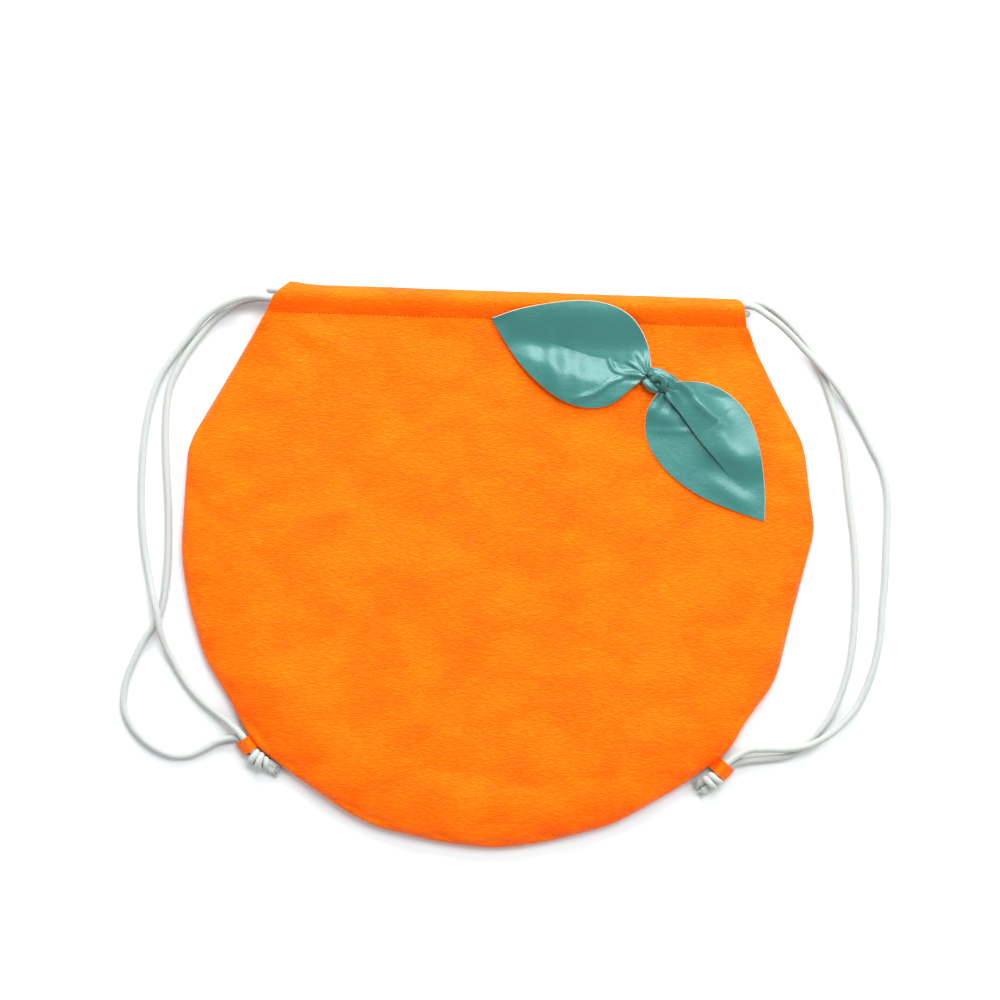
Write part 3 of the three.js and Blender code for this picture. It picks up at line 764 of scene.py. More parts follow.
def add_braided(name, path, radius=CORD_RADIUS, sides=CORD_SIDES):
    """A braided cord along a path. Its own coordinates run along it and round it."""
    along = lengths_along(path)
    angles = ring_angles(sides)
    twist = np.cos(BRAID_BUMPS * angles)[None] * np.cos(2 * math.pi * along / BRAID_PITCH)[:, None]
    radii = np.broadcast_to(radius, (len(path),))[:, None] * (1 - BRAID_DEPTH + BRAID_DEPTH * twist)
    points, faces = tube(path, radii, sides)
    points[:, 2] = np.maximum(points[:, 2], ON_FLOOR)
    flat = np.stack(np.meshgrid(along, CORD_RADIUS * angles, 0, indexing="ij"), -1)
    return add_mesh(name, points, faces, [COTTON], flat=flat.reshape(-1, 3))


def add_strand(side, face, route, start, through):
    path = strand_path(side, route, start, through)
    piece = add_braided(f"{side}_{face}_strand", path)
    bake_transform(piece)
    smoothstep(*STRAND_BEND, np.repeat(lengths_along(path), CORD_SIDES))
    float(lengths_along(path)[-1])
    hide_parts(f"{side}_cord_{face}_strand")


def box_middle(node):
    low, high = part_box(node)
    return (low + high) / 2


def lane_of(node):
    """How far above the stitch line a cord's run lies, and its height."""
    middle = box_middle(node)
    return float(above_stitches(np.array([[middle.x, middle.y]]))[0]), middle.z


def strand_start(node, end, inwards):
    lane, z = lane_of(node)
    return hem_point(end + inwards * INSIDE_HEM, lane, z)


def loop_path(side, loop_end, outwards, near_end):
    """Out of the front hem, round its end, and along the back hem to the cord's own strand."""
    front_lane, front_z = lane_of(f"{side}_cord_front_run")
    back_lane, back_z = lane_of(f"{side}_cord_back_run")
    radius = (front_z - back_z) / 2
    points = [hem_point(loop_end - outwards * INSIDE_HEM, front_lane, front_z)]
    for share in np.arange(LOOP_STEPS + 1) / LOOP_STEPS:
        angle = math.pi * share
        u = loop_end + outwards * (LOOP_GAP + radius * math.sin(angle))
        v = front_lane + (back_lane - front_lane) * share
        points.append(hem_point(u, v, (front_z + back_z) / 2 + radius * math.cos(angle)))
    points.append(hem_point(loop_end - outwards * INSIDE_HEM, back_lane, back_z))
    points.append(hem_point(near_end + outwards * (INSIDE_HEM + RUN_GAP), back_lane, back_z))
    return smooth_curve(points, 0.0006)


def add_loop_and_back_run(side, loop_end, outwards, near_end):
    path = loop_path(side, loop_end, outwards, near_end)
    piece = add_braided(f"{side}_cord_loop_and_back_run", path)
    finished(piece, f"{side}_cord", "cotton_cord", f"{side}_cord_loop", f"{side}_cord_back_run")


def add_front_run(side, loop_end, outwards, near_end):
    lane, z = lane_of(f"{side}_cord_front_run")
    ends = (near_end + outwards * (INSIDE_HEM + SLIDE_ROOM), loop_end - outwards * (INSIDE_HEM + RUN_GAP))
    path = resample(np.stack([hem_point(u, lane, z) for u in ends]), 0.0012)
    piece = add_braided(f"{side}_cord_in_front_hem", path, sides=12)
    finished(piece, "front_mouth", "cotton_cord", f"{side}_cord_front_run")


def add_knot(side):
    """The cord wound round the knot's middle line."""
    knot = KNOTS[side]
    line = knot_line(side)
    share = np.linspace(0, 1, len(line))
    radius = np.interp(share, (0, 0.45, 1), knot["radii"])
    angle = knot["hand"] * 2 * math.pi * knot["turns"] * share - math.pi / 2
    ahead = np.gradient(line, axis=0)
    sideways = -TABS[side]["down"] * unit(np.column_stack([-ahead[:, 1], ahead[:, 0], 0 * share]))
    wraps = line + sideways * (radius * np.cos(angle))[:, None]
    wraps[:, 2] += 0.92 * radius * np.sin(angle)
    path = resample(wraps, STRAND_STEP)
    taper = CORD_RADIUS * (1 - 0.25 * smoothstep(0.85, 1.0, np.linspace(0, 1, len(path))))
    piece = add_braided(f"{side}_knot_wraps", path, radius=taper)
    return finished(piece, "root", "cotton_cord", f"{side}_knot")


def tail_line(side, offset, share):
    """A point on the middle line of a tail, from inside the knot to its frayed end."""
    angle = KNOTS[side]["tails"]
    forward = np.array((math.cos(angle), math.sin(angle), 0))
    sideways = np.array((-forward[1], forward[0], 0))
    start = np.array(KNOTS[side]["line"][-1]) - forward * 0.002
    point = start + forward * TAIL_LENGTH * share + sideways * offset * (0.7 + 0.3 * share)
    point[2] = start[2] + (0.0021 - start[2]) * math.sin(share * math.pi / 2)
    return point


def add_tail(side, number, offset, random):
    """A cut cord end that has opened out: a grooved core and its loose yarns."""
    core = np.array([tail_line(side, offset, share) for share in np.linspace(0, 0.72, 14)])
    sides = 40
    grooves = 1 + 0.09 * np.cos(10 * ring_angles(sides) + 0.6)
    radii = np.linspace(0.0018, 0.0027, len(core))
    radii[-1] *= 0.6
    parts = [tube(core, radii[:, None] * grooves[None], sides, squash=0.72)]
    for _ in range(TAIL_FIBRES):
        spread, lift = random.uniform(-1, 1), random.uniform(-0.8, 1)
        reach = random.uniform(0.86, 1.12)
        curl = random.normal(0, 0.0004, 3)
        line = []
        for step, share in enumerate(np.linspace(0.45, reach, 5)):
            point = tail_line(side, offset + spread * 0.0026 * share, share) + curl * step / 4
            point[2] = max(0.0003, point[2] + lift * 0.0014)
            line.append(point)
        parts.append(tube(line, np.linspace(0.0004, 0.0002, 5), 5))
    points, faces = joined(parts)
    points[:, 2] = np.maximum(points[:, 2], ON_FLOOR)
    piece = add_mesh(f"{side}_cord_frayed_end_{number}", points, faces, [COTTON])
    return finished(piece, "root", "cotton_cord", f"{side}_cord_tail_{number}")


def add_cord(side, routes, near_end, loop_end, outwards, random):
    """A whole cord: it leaves the hem at near_end and turns round its far end, loop_end."""
    apart = KNOTS[side]["tail_offset"]
    knot = add_knot(side)
    ends = [add_tail(side, number, offset, random) for number, offset in ((1, -apart), (2, apart))]
    tied = ([knot, ends[0]], [ends[1]])
    for face, line, through, pieces in zip(("front", "back"), routes, TAB_STRANDS, tied):
        route = [(*point, FLOOR)[:3] for point in line]
        start = strand_start(f"{side}_cord_{face}_run", near_end, outwards)
        add_strand(side, face, route, start, through)
    add_loop_and_back_run(side, loop_end, outwards, near_end)
    add_front_run(side, loop_end, outwards, near_end)


RANDOM = np.random.default_rng(11)
add_cord("left", (LEFT_FRONT_STRAND, LEFT_BACK_STRAND), HEM_ENDS[0], HEM_ENDS[1], 1, RANDOM)
add_cord("right", (RIGHT_FRONT_STRAND, RIGHT_BACK_STRAND), HEM_ENDS[1], HEM_ENDS[0], -1, RANDOM)


# ---- the two sheets

EDGE_INSETS = [0, 0.0002, 0.0005, 0.001, 0.0016, 0.0024, 0.0034, 0.0046, 0.006, 0.0078, 0.01]
INNER_RINGS = 52
STITCH_COLUMNS = 170
TOP_Z = FRONT_Z + 0.0002          # the flat of the front sheet
STITCH_Z = HEM_Z + HEM_MARGIN     # where the front sheet is stitched down


def seam_opening(xy):
    """The seam parts a little where a tab is sewn into it."""
    away = np.min([norm(xy - np.array(tab["edge"]), axis=1) for tab in TABS.values()], axis=0)
    return 0.0008 * (1 - smoothstep(0.004, 0.008, away))


def seam_height(below):
    """The seam rises towards the mouth."""
    return SEAM_Z + 0.0042 * (1 - smoothstep(0.004, 0.05, below))


def soft_distance(xy, width):
    """The distance to the seam, without creases where two straight runs of it meet."""
    each = distances(xy, OUTLINE)
    return np.maximum(0, -width * np.log(np.exp(-each / width).sum(1)))


def round_rise(share):
    """A quarter circle from 0 to 1."""
    share = np.clip(share, 0, 1)
    return np.sqrt(1 - (1 - share) ** 2)


def fold_field(xy):
    """The height that the soft folds add."""
    total = np.zeros(len(xy))
    for line, width, height in FOLDS:
        total += height * np.exp(-(distances(xy, line).min(1) / width) ** 2)
    return total


def gathers(xy, below):
    """Short puckers that hang from the stitch line."""
    u = (xy[:, 0] - STITCH_ORIGIN.x) * ALONG.x + (xy[:, 1] - STITCH_ORIGIN.y) * ALONG.y
    strength = 0.35 + 0.65 * (smoothstep(-0.115, -0.1, u) - smoothstep(-0.06, -0.03, u))
    ripple = waves(np.stack([u, np.full(len(u), 0.2)], 1), 0.0075, 3.1)
    return 0.0009 * strength * ripple * np.exp(-below / 0.011) * smoothstep(-0.0001, 0.002, below)


def front_heights(xy):
    below = -above_stitches(xy)
    hard = distances(xy, SEWN_EDGE).min(1)
    soft = soft_distance(xy, 0.007)
    parted = 1 - smoothstep(0, MOUTH_SIDE, below)
    edge = seam_height(below) + SEAM_GAP + seam_opening(xy)
    edge = edge + (STITCH_Z - edge) * parted
    top = TOP_Z + (STITCH_Z - TOP_Z) * np.exp(-(below / 0.007) ** 2)
    rise = 0.36 * round_rise(hard / 0.0034) + 0.64 * round_rise(soft / 0.03) ** 1.25
    inner = smoothstep(0.003, 0.03, hard)
    away = smoothstep(0.0, 0.012, below)
    dents = 0.0008 * waves(xy, 0.07, 1.3) + 0.0004 * waves(xy, 0.03, 5.2)
    surface = edge + (top - edge) * rise + inner * away * (1.4 * fold_field(xy) + dents)
    surface += inner * gathers(xy, below)
    puckers = 0.0004 * waves(xy, 0.008, 8.4) * np.exp(-((hard - 0.006) / 0.005) ** 2)
    return surface + puckers * smoothstep(0.02, 0.04, below)


def back_heights(xy):
    below = -above_stitches(xy)
    hard = distances(xy, SEWN_EDGE).min(1)
    joined_here = smoothstep(0, MOUTH_SIDE, below)
    edge = (seam_height(below) - SEAM_GAP - seam_opening(xy)) * joined_here
    rise = round_rise(hard / 0.008)
    lifted = 0.0003 * (1 + waves(xy, 0.05, 2.2)) * smoothstep(0.01, 0.03, hard)
    return edge * (1 - rise) + lifted * smoothstep(0, 0.02, below)


def stitch_columns(rise):
    """The samples of the stitch line, from its right end to its left end."""
    u = np.linspace(RIGHT_END[0][1], LEFT_END[0][1], STITCH_COLUMNS)
    return u, hem_point(u, rise, 0)[:, :2]


def ring_surface(heights, rise):
    """The sheet below the stitch line, as rings that close in on its middle, and which of its points
    are the stitch line's."""
    _, stitches = stitch_columns(rise)
    sides = resample(SEWN_EDGE, 0.0026)
    if rise:
        sides[0] = stitches[-1]
        sides[-1] = stitches[0]
    border = np.vstack([sides[:-1], stitches[:-1], stitches[-1:]])[:-1]
    reach = norm(border, axis=1, keepdims=True)
    rings = [border * (reach - inset) / reach for inset in EDGE_INSETS]
    for share in np.linspace(1, 0, INNER_RINGS)[1:-1]:
        rings.append(rings[len(EDGE_INSETS) - 1] * share)
    xy = np.vstack(rings + [np.zeros((1, 2))])
    count = len(border)
    rows = numbered(len(rings), count, closed=True)
    faces = strips(rows) + [(a, b, len(xy) - 1) for a, b in zip(rows[-1], rows[-1][1:])]
    points = np.column_stack([xy, heights(xy)])
    first = len(sides) - 1
    columns = [(first + i) % count for i in range(len(stitches))]
    return points, faces, columns


def hem_rows(outer_first):
    """The hem's section in even steps from the stitch line, and the row at its top edge."""
    section = HEM_SECTION if outer_first else HEM_SECTION[::-1]
    line = smooth_curve(section, count=HEM_ROWS)
    tip = int(np.argmax(line[:, 0]))
    tail = [line[-1] - (HEM_ALLOWANCE * share, 0) for share in (0.33, 0.66, 1.0)]
    return np.vstack([line, tail]), tip


def hem_surface(points, columns, outer_first, base, rise):
    """The folded hem, carried on from the stitch line's own points."""
    line, tip = hem_rows(outer_first)
    u, _ = stitch_columns(rise)
    share = (u - LEFT_END[0][1]) / (RIGHT_END[0][1] - LEFT_END[0][1])
    left_v, left_u = zip(*LEFT_END)
    right_v, right_u = zip(*RIGHT_END)
    along = lengths_along(line)
    grid = [np.array(columns)]
    added, flats = [], []
    count = len(points)
    for row, (v, z) in enumerate(line[1:], start=1):
        left = np.interp(abs(v), left_v, left_u)
        right = np.interp(abs(v), right_v, right_u)
        inner = smoothstep(tip - 2, tip + 5, row)
        right = right + (min(right, INNER_RIGHT_END) - right) * inner
        place = left + (right - left) * share
        flare = 0.0019 * np.exp(-((place + 0.127) / 0.011) ** 2) * smoothstep(0.008, 0.0166, v)
        lumps = waves(np.stack([place, np.full(len(u), row * 0.0004)], 1), 0.012, 6.6 + base * 100)
        full = smoothstep(0, 0.006, v)
        height = np.maximum(base + z + 0.0005 * lumps * full, max(base, 0.00005))
        added.append(hem_point(place, v + rise + flare + 0.00025 * lumps * full, height))
        flats.append(hem_point(place, along[row], np.zeros(len(u))))
        grid.append(count + (row - 1) * len(u) + np.arange(len(u)))
    return np.vstack(added), strips(grid, flip=True), np.vstack(flats)


def whole_sheet(heights, outer_first, base, rise):
    """A sheet with its hem, its underside at height `base` and its stitch line raised by `rise`."""
    points, faces, columns = ring_surface(heights, rise)
    hem_points, hem_faces, hem_flat = hem_surface(points, columns, outer_first, base, rise)
    flat = np.vstack([np.column_stack([points[:, :2], np.zeros(len(points))]), hem_flat])
    return np.vstack([points, hem_points]), faces + hem_faces, flat


def add_back_sheet():
    points, faces, flat = whole_sheet(back_heights, False, 0.0, BACK_HEM_RISE)
    faces = [face[::-1] for face in faces]
    sheet = thick_sheet("back_sheet", points, faces, flat, LEATHER, ORANGE_SHEET)
    return finished(sheet, "root", "orange_leather", "back_panel", "back_casing")


def add_front_sheet():
    points, faces, flat = whole_sheet(front_heights, True, HEM_Z, 0.0)
    sheet = thick_sheet("front_sheet", points, faces, flat, LEATHER, ORANGE_SHEET)
    return finished(sheet, "front_mouth", "orange_leather", "front_panel", "front_flap", "front_casing")


BACK_SHEET = add_back_sheet()
FRONT_SHEET = add_front_sheet()


# ---- stitching

def stitch_row(u_values, v, z):
    half = STITCH_LENGTH / 2
    return joined([capsule(hem_point(u - half, v, z), hem_point(u + half, v, z), THREAD_RADIUS)
                   for u in u_values])


def add_hem_stitching(side, body, v, z):
    u_values = np.arange(LEFT_END[0][1] + 0.005, RIGHT_END[0][1] - 0.004, STITCH_PITCH)
    points, faces = stitch_row(u_values, v, z)
    piece = add_mesh(f"{side}_hem_stitches", points, faces, [ORANGE_THREAD])
    return finished(piece, body, "orange_thread", f"{side}_casing_stitching")


def add_seam_stitches():
    """The stitches inside the bag that join the two sheets, a little in from the seam's edge."""
    edge = resample(SEWN_EDGE, 0.003)[4:-4]
    steps = np.gradient(edge, axis=0)
    inwards = unit(np.column_stack([-steps[:, 1], steps[:, 0]]))
    height = np.full(len(edge), box_middle("side_seam_thread").z)
    line = np.column_stack([edge + inwards * SEAM_INSET, height])
    points, faces = joined([capsule(a + (b - a) * 0.15, a + (b - a) * 0.85, THREAD_RADIUS)
                            for a, b in zip(line, line[1:])])
    piece = add_mesh("side_seam_stitches", points, faces, [ORANGE_THREAD])
    return finished(piece, "root", "orange_thread", "side_seam_thread")


# ---- cord tabs

TAB_WALL = 0.0008
# The strip's outer face in section: out from the seam, height.
TAB_SECTION = [
    (-0.004, 0.0041), (-0.0012, 0.0043), (0.0, 0.0058), (0.0006, 0.0083), (0.0024, 0.0098),
    (0.0044, 0.0098), (0.0062, 0.0086), (0.0086, 0.0056), (0.0095, 0.0034), (0.0088, 0.0012),
    (0.0068, 0.0001), (0.0042, 0.0008), (0.0016, 0.0024), (-0.0012, 0.0029), (-0.004, 0.003),
]
TAB_MARKS = [(0.0026, -0.0026), (0.0026, 0.0026), (0.0064, -0.0026), (0.0064, 0.0026)]


def tab_dents(out, along, height):
    """Four small marks that the needle left on the upper face."""
    dent = np.zeros_like(out)
    for mark_out, mark_along in TAB_MARKS:
        dent += np.exp(-((out - mark_out) ** 2 + (along - mark_along) ** 2) / 0.0006 ** 2)
    return 0.0006 * dent * (height > 0.004)


def add_tab(side):
    section = smooth_curve(TAB_SECTION, 0.00035)
    along = np.linspace(-TAB_LENGTH / 2, TAB_LENGTH / 2, 26)
    out, place = np.meshgrid(section[:, 0], along, indexing="ij")
    height = np.broadcast_to(section[:, 1][:, None], out.shape)
    height = height - tab_dents(out, place, height)
    points = np.array([tab_point(side, *values) for values in
                       zip(out.ravel(), place.ravel(), height.ravel())])
    points[:, 2] = np.maximum(points[:, 2], ON_FLOOR)
    faces = strips(numbered(*out.shape), flip=TABS[side]["down"] > 0)
    at = np.repeat(lengths_along(section), len(along))
    flat = np.column_stack([place.ravel(), at, np.zeros(len(at))])
    tab = thick_sheet(f"{side}_cord_tab", points, faces, flat, TAB_WALL, ORANGE_SHEET)
    finished(tab, "root", "orange_leather", f"{side}_tab")


# ---- leaves

LEAF_THICKNESS = 0.001
LEAF_CONTACT = FRONT_Z + 0.0016       # outer face of a leaf that lies on the bag
LEAF_ON_HEM = HEM_Z + HEM_CREST + 0.0019
LEAF_ROWS = 190
LEAF_COLUMNS = 52                     # in each half
LEAF_FLARE = 0.00042                  # the cut edge of a leaf shows where the leaf curls up
LEAF_BACKING = 0.3                    # and the backing starts this far through that edge

# Each leaf has its two sides and the line of its dart between them, all from tip to neck.
# raised: the half that overlaps the other along the dart, 1 for the first side's.
# dart, lift: where along the leaf the overlap and the raised crest begin and are full.
# height, crest, spread: the crest's height, its distance from the dart, its width on each side.
# neck, neck_rise: where the leaf is gathered, and how much that lifts it.
# ridges: middle line, half width and height of each bump or dip.
UPPER_LEAF = {
    "first": [(-0.0039, 0.1481), (0.0122, 0.1533), (0.0351, 0.1576), (0.0523, 0.1585),
              (0.0672, 0.1559), (0.0787, 0.1492), (0.0861, 0.1393), (0.0903, 0.1275), (0.0906, 0.1195)],
    "middle": [(-0.0039, 0.1481), (0.0105, 0.1422), (0.0243, 0.1363), (0.0409, 0.1301),
               (0.0533, 0.1259), (0.0691, 0.1222), (0.0805, 0.118), (0.0885, 0.1152)],
    "second": [(-0.0039, 0.1481), (0.003, 0.1363), (0.0122, 0.1225), (0.0236, 0.1103),
               (0.0351, 0.1013), (0.0466, 0.0962), (0.0569, 0.0949), (0.0672, 0.0971),
               (0.0781, 0.1053), (0.0858, 0.112)],
    "raised": -1, "dart": (0.27, 0.5), "lift": (0.1, 0.35), "height": 0.0031, "crest": 0.0155,
    "spread": (0.0105, 0.019), "overlap": 0.0007, "dart_backing": 0.95,
    "neck": (0.0905, 0.1135), "neck_rise": 0.0045, "pleats": 11, "waves": 2.7,
    "ridges": [
        ([(0.031, 0.14), (0.033, 0.122), (0.037, 0.1)], 0.0062, 0.0015),
        ([(0.047, 0.134), (0.047, 0.118), (0.049, 0.1)], 0.0046, 0.0007),
        ([(0.0215, 0.145), (0.02, 0.124)], 0.006, 0.0006),
        ([(0.044, 0.0995), (0.0581, 0.1039), (0.0684, 0.1108), (0.0805, 0.1142), (0.09, 0.1135)],
         0.0017, 0.0012),
        ([(0.066, 0.1235), (0.0695, 0.1175), (0.0755, 0.1152), (0.083, 0.1148), (0.09, 0.114)],
         0.0014, 0.0011),
        ([(0.068, 0.0985), (0.075, 0.1035), (0.083, 0.109)], 0.0022, 0.0007),
        ([(0.077, 0.123), (0.083, 0.119), (0.089, 0.1145)], 0.0012, 0.0007),
        ([(0.083, 0.127), (0.0865, 0.121), (0.09, 0.115)], 0.0012, 0.0007),
    ],
}
LOWER_LEAF = {
    "first": [(0.1589, 0.0272), (0.1591, 0.0442), (0.1574, 0.0614), (0.1543, 0.0775),
              (0.1487, 0.0913), (0.14, 0.1011), (0.1285, 0.1081), (0.118, 0.1105), (0.107, 0.1108)],
    "middle": [(0.1589, 0.0272), (0.15, 0.0392), (0.1404, 0.0514), (0.1309, 0.0647), (0.1208, 0.0773),
               (0.1088, 0.0937), (0.1002, 0.1035)],
    "second": [(0.1589, 0.0272), (0.1384, 0.0345), (0.1215, 0.0419), (0.1063, 0.0522),
               (0.0955, 0.0637), (0.0893, 0.0752), (0.088, 0.0866), (0.09, 0.0958), (0.0957, 0.1035)],
    "raised": 1, "dart": (0.26, 0.62), "lift": (0.2, 0.42), "height": 0.0037, "crest": 0.009,
    "spread": (0.018, 0.016), "overlap": 0.0016, "dart_backing": 0.6,
    "neck": (0.0985, 0.107), "neck_rise": 0.004, "pleats": 9, "waves": 7.3,
    "ridges": [
        ([(0.0975, 0.1165), (0.109, 0.1105), (0.118, 0.101), (0.1255, 0.0935), (0.134, 0.086)],
         0.0036, 0.002),
        ([(0.117, 0.099), (0.127, 0.088), (0.135, 0.078)], 0.0075, 0.0012),
        ([(0.116, 0.069), (0.14, 0.0665), (0.172, 0.063)], 0.011, 0.002),
        ([(0.14, 0.094), (0.132, 0.0875), (0.124, 0.081)], 0.0016, -0.00025),
        ([(0.137, 0.1), (0.124, 0.1015), (0.112, 0.103)], 0.004, -0.0009),
        ([(0.087, 0.0945), (0.096, 0.0905), (0.106, 0.087)], 0.006, 0.0021),
        ([(0.092, 0.0815), (0.102, 0.081), (0.115, 0.081)], 0.0022, 0.0005),
        ([(0.113, 0.072), (0.127, 0.055)], 0.007, -0.0008),
        ([(0.126, 0.0525), (0.136, 0.0455), (0.15, 0.037)], 0.0058, 0.0012),
    ],
}


def leaf_rest(xy):
    """The height at which a leaf lies: on the front of the bag, and up over the hem."""
    return LEAF_CONTACT + (LEAF_ON_HEM - LEAF_CONTACT) * smoothstep(-0.018, 0.0095, above_stitches(xy))


def ridge(xy, line, width, rise):
    """A long bump or dip that fades out at both ends."""
    line = smooth_curve(line, count=120)
    share = np.linspace(0, 1, len(line))
    fade = round_rise(np.minimum(share, 1 - share) / 0.3)
    apart = norm(xy[:, None] - line[None], axis=2)
    return rise * (fade * np.exp(-(apart / width) ** 2)).max(1)


def leaf_heights(leaf, xy):
    """The leaf's outer face before its dart is folded."""
    away = norm(xy - np.array(leaf["neck"]), axis=1)
    round_neck = np.arctan2(xy[:, 1] - leaf["neck"][1], xy[:, 0] - leaf["neck"][0])
    tip = np.array(leaf["first"][0])
    tip_rise = LEAF_ON_HEM - LEAF_CONTACT
    drop = 0.5 * tip_rise * (above_stitches(tip[None])[0] > -0.01)
    height = leaf_rest(xy) - drop * (1 - smoothstep(0, 0.016, norm(xy - tip, axis=1)))
    height += leaf["neck_rise"] * np.exp(-(away / 0.013) ** 2)
    pleat = np.cos(leaf["pleats"] * round_neck + 8 * away / 0.02)
    height += 0.0006 * pleat * np.exp(-away / 0.011) * smoothstep(0.001, 0.005, away)
    for line, width, rise in leaf["ridges"]:
        height += ridge(xy, line, width, rise)
    return height + 0.0004 * waves(xy, 0.022, leaf["waves"])


def leaf_half(leaf, side, edge, middle, across):
    """One half of a leaf: rows from tip to neck, columns from its edge to the dart."""
    share = np.linspace(0, 1, len(edge))[:, None]
    taper = smoothstep(*leaf["dart"], share)
    xy = edge[:, None] * (1 - across[None, :, None]) + middle[:, None] * across[None, :, None]
    from_dart = norm(xy - middle[:, None], axis=2)
    height = leaf_heights(leaf, xy.reshape(-1, 2)).reshape(from_dart.shape)
    outwards = unit(edge - middle)
    if side == leaf["raised"]:
        spread = np.where(from_dart < leaf["crest"], *leaf["spread"])
        lift = leaf["height"] * np.exp(-((from_dart - leaf["crest"]) / spread) ** 2)
        near_dart = np.exp(-(from_dart / 0.006) ** 2)
        height = height + smoothstep(*leaf["lift"], share) * lift * (1 - (1 - taper) * near_dart)
        shift = (0.00003 - leaf["overlap"] * taper) * np.exp(-from_dart / 0.005)
        xy = xy + outwards[:, None] * shift[..., None]
    else:
        height = height - 0.0005 * taper * np.exp(-from_dart / 0.004)
    return np.concatenate([xy, height[..., None]], 2)


def leaf_flare(halves):
    """How far the cut edge leans out at each point: not on the sides that curl down, nor at the dart."""
    flare = np.zeros((halves[0].shape[0], 2 * halves[0].shape[1]))
    for column, half in ((0, halves[0]), (-1, halves[1])):
        outwards = unit(half[:, 0, :2] - half[:, 12, :2])
        flare[:, column] = LEAF_FLARE * smoothstep(-0.75, -0.1, outwards[:, 1])
    return flare


def add_leaf(name, leaf, node):
    """A leaf is one sheet, cut open along its dart except near the tip."""
    first, middle, second = (smooth_curve(leaf[key], count=LEAF_ROWS)[1:]
                             for key in ("first", "middle", "second"))
    across = 1 - (1 - np.linspace(0, 1, LEAF_COLUMNS)) ** 1.5
    halves = [leaf_half(leaf, 1, first, middle, across), leaf_half(leaf, -1, second, middle, across)]
    points = np.concatenate([halves[0], halves[1][:, ::-1]], 1)
    rows, columns = points.shape[:2]
    points = points.reshape(-1, 3)
    grid = numbered(rows, columns)
    flip = normals_of(points, strips(grid))[:, 2].sum() < 0
    flare = leaf_flare(halves)
    backing = np.full(flare.shape, leaf["dart_backing"])
    backing[:, (0, -1)] = LEAF_BACKING
    uncut_rows = int(leaf["dart"][0] * rows)
    faces = [face for i, face in enumerate(strips(grid, flip))
             if i % (columns - 1) != LEAF_COLUMNS - 1 or i // (columns - 1) < uncut_rows]
    piece = thick_sheet(name, points, faces, points * (1, 1, 0), LEAF_THICKNESS, GREEN_SHEET,
                        flare.ravel(), backing.ravel())
    return finished(piece, "front_mouth", "green_leather", node)


# The knot between the leaves: each roll's middle line, its radius along it, and how flat it is.
KNOT_ROLLS = [
    ([(0.089, 0.1151, 0.0198), (0.0918, 0.1155, 0.0218), (0.0957, 0.1148, 0.023),
      (0.1001, 0.1124, 0.023), (0.1046, 0.1088, 0.0214), (0.11, 0.1043, 0.018)],
     [0.0026, 0.0035, 0.0038, 0.0042, 0.0043, 0.0026], 0.8),
    ([(0.0872, 0.1138, 0.0186), (0.0884, 0.1108, 0.02), (0.0908, 0.108, 0.0206),
      (0.0935, 0.1061, 0.0202), (0.0957, 0.1052, 0.019)],
     [0.0018, 0.0026, 0.003, 0.0027, 0.0018], 0.8),
    ([(0.0914, 0.1106, 0.0224), (0.093, 0.1126, 0.0244), (0.0958, 0.1133, 0.0253),
      (0.0984, 0.1118, 0.0253), (0.0989, 0.1088, 0.024), (0.0964, 0.1069, 0.0218)],
     [0.0014, 0.002, 0.0022, 0.0023, 0.0024, 0.0015], 0.8),
    ([(0.0985, 0.1082, 0.0214), (0.1014, 0.1066, 0.0214), (0.1045, 0.1036, 0.0202),
      (0.1085, 0.0995, 0.018)],
     [0.0026, 0.0031, 0.0028, 0.0014], 0.8),
    ([(0.087, 0.113, 0.0182), (0.0925, 0.1104, 0.0182), (0.0985, 0.1078, 0.0182),
      (0.104, 0.1055, 0.018)],
     [0.003, 0.004, 0.004, 0.003], 0.75),
]


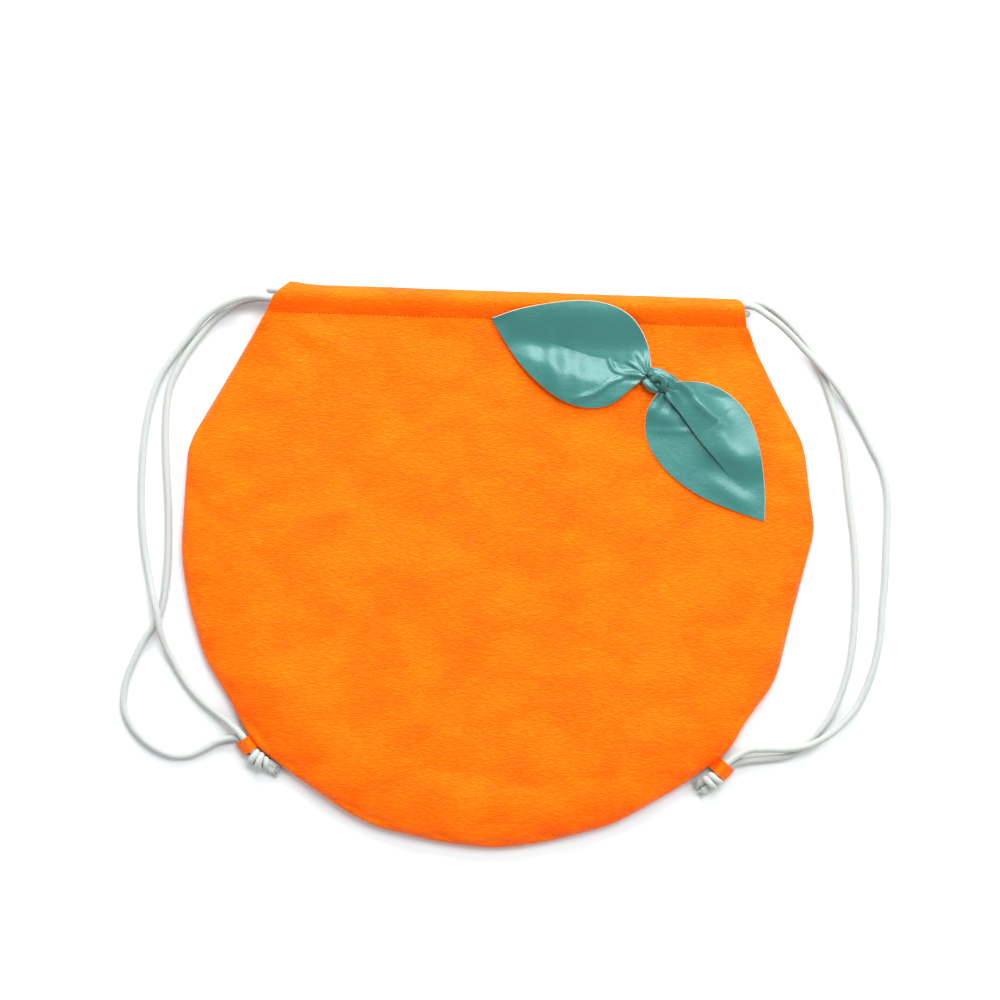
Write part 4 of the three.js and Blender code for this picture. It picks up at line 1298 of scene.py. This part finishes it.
def wrinkled_roll(line, radii, squash, seed):
    """A twisted fold of the strip: a flattened tube with grooves along it."""
    path = smooth_curve(line, 0.0004)
    share = np.linspace(0, 1, len(path))
    radius = np.interp(share, np.linspace(0, 1, len(radii)), radii)
    sides = 36
    angles = ring_angles(sides)
    along = lengths_along(path)
    places = [(math.cos(a) * 1.3, math.sin(a) * 1.3, s / 0.006 + seed) for s in along for a in angles]
    ripple = np.array([noise.noise(Vector(place)) for place in places]).reshape(len(path), sides)
    grooves = 0.07 * np.cos(5 * angles[None] + 1.6 * np.sin(along[:, None] / 0.004 + seed))
    ends = 0.35 + 0.65 * round_rise(np.minimum(share, 1 - share) / 0.12)
    return tube(path, radius[:, None] * ends[:, None] * (1 + grooves + 0.16 * ripple), sides, squash)


def add_leaf_knot():
    points, faces = joined([wrinkled_roll(line, radii, squash, 4.0 * i)
                            for i, (line, radii, squash) in enumerate(KNOT_ROLLS)])
    piece = add_mesh("leaf_knot_rolls", points, faces, [GREEN])
    return finished(piece, "front_mouth", "green_leather", "leaf_knot")


def add_leaf_tack():
    """The stitches that hold the leaves' knot to the front sheet."""
    middle = box_middle("leaf_tack")
    low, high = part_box("leaf_tack")
    strokes = []
    for turn in range(3):
        angle = math.pi * turn / 3
        reach = 0.0008 * np.array((math.cos(angle), math.sin(angle), 0))
        bottom = np.array((middle.x, middle.y, low.z + 0.0006))
        top = np.array((middle.x, middle.y, high.z + 0.0008))
        strokes += [capsule(bottom - reach * 2, bottom + reach * 2, THREAD_RADIUS),
                    capsule(bottom - reach, top - reach, THREAD_RADIUS),
                    capsule(bottom + reach, top + reach, THREAD_RADIUS)]
    points, faces = joined(strokes)
    piece = add_mesh("leaf_tack_stitches", points, faces, [GREEN_THREAD])
    finished(piece, "front_mouth", "green_thread", "leaf_tack")


FRONT_STITCHES = add_hem_stitching("front", "front_mouth", 0.0, STITCH_Z + 0.00012)
BACK_STITCHES = add_hem_stitching("back", "root", BACK_HEM_RISE, 0.00035)
SEAM_STITCHES = add_seam_stitches()
add_tab("left")
add_tab("right")
UPPER = add_leaf("upper_leaf_sheet", UPPER_LEAF, "leaf_upper")
LOWER = add_leaf("lower_leaf_sheet", LOWER_LEAF, "leaf_lower")
LEAF_KNOT = add_leaf_knot()
add_leaf_tack()
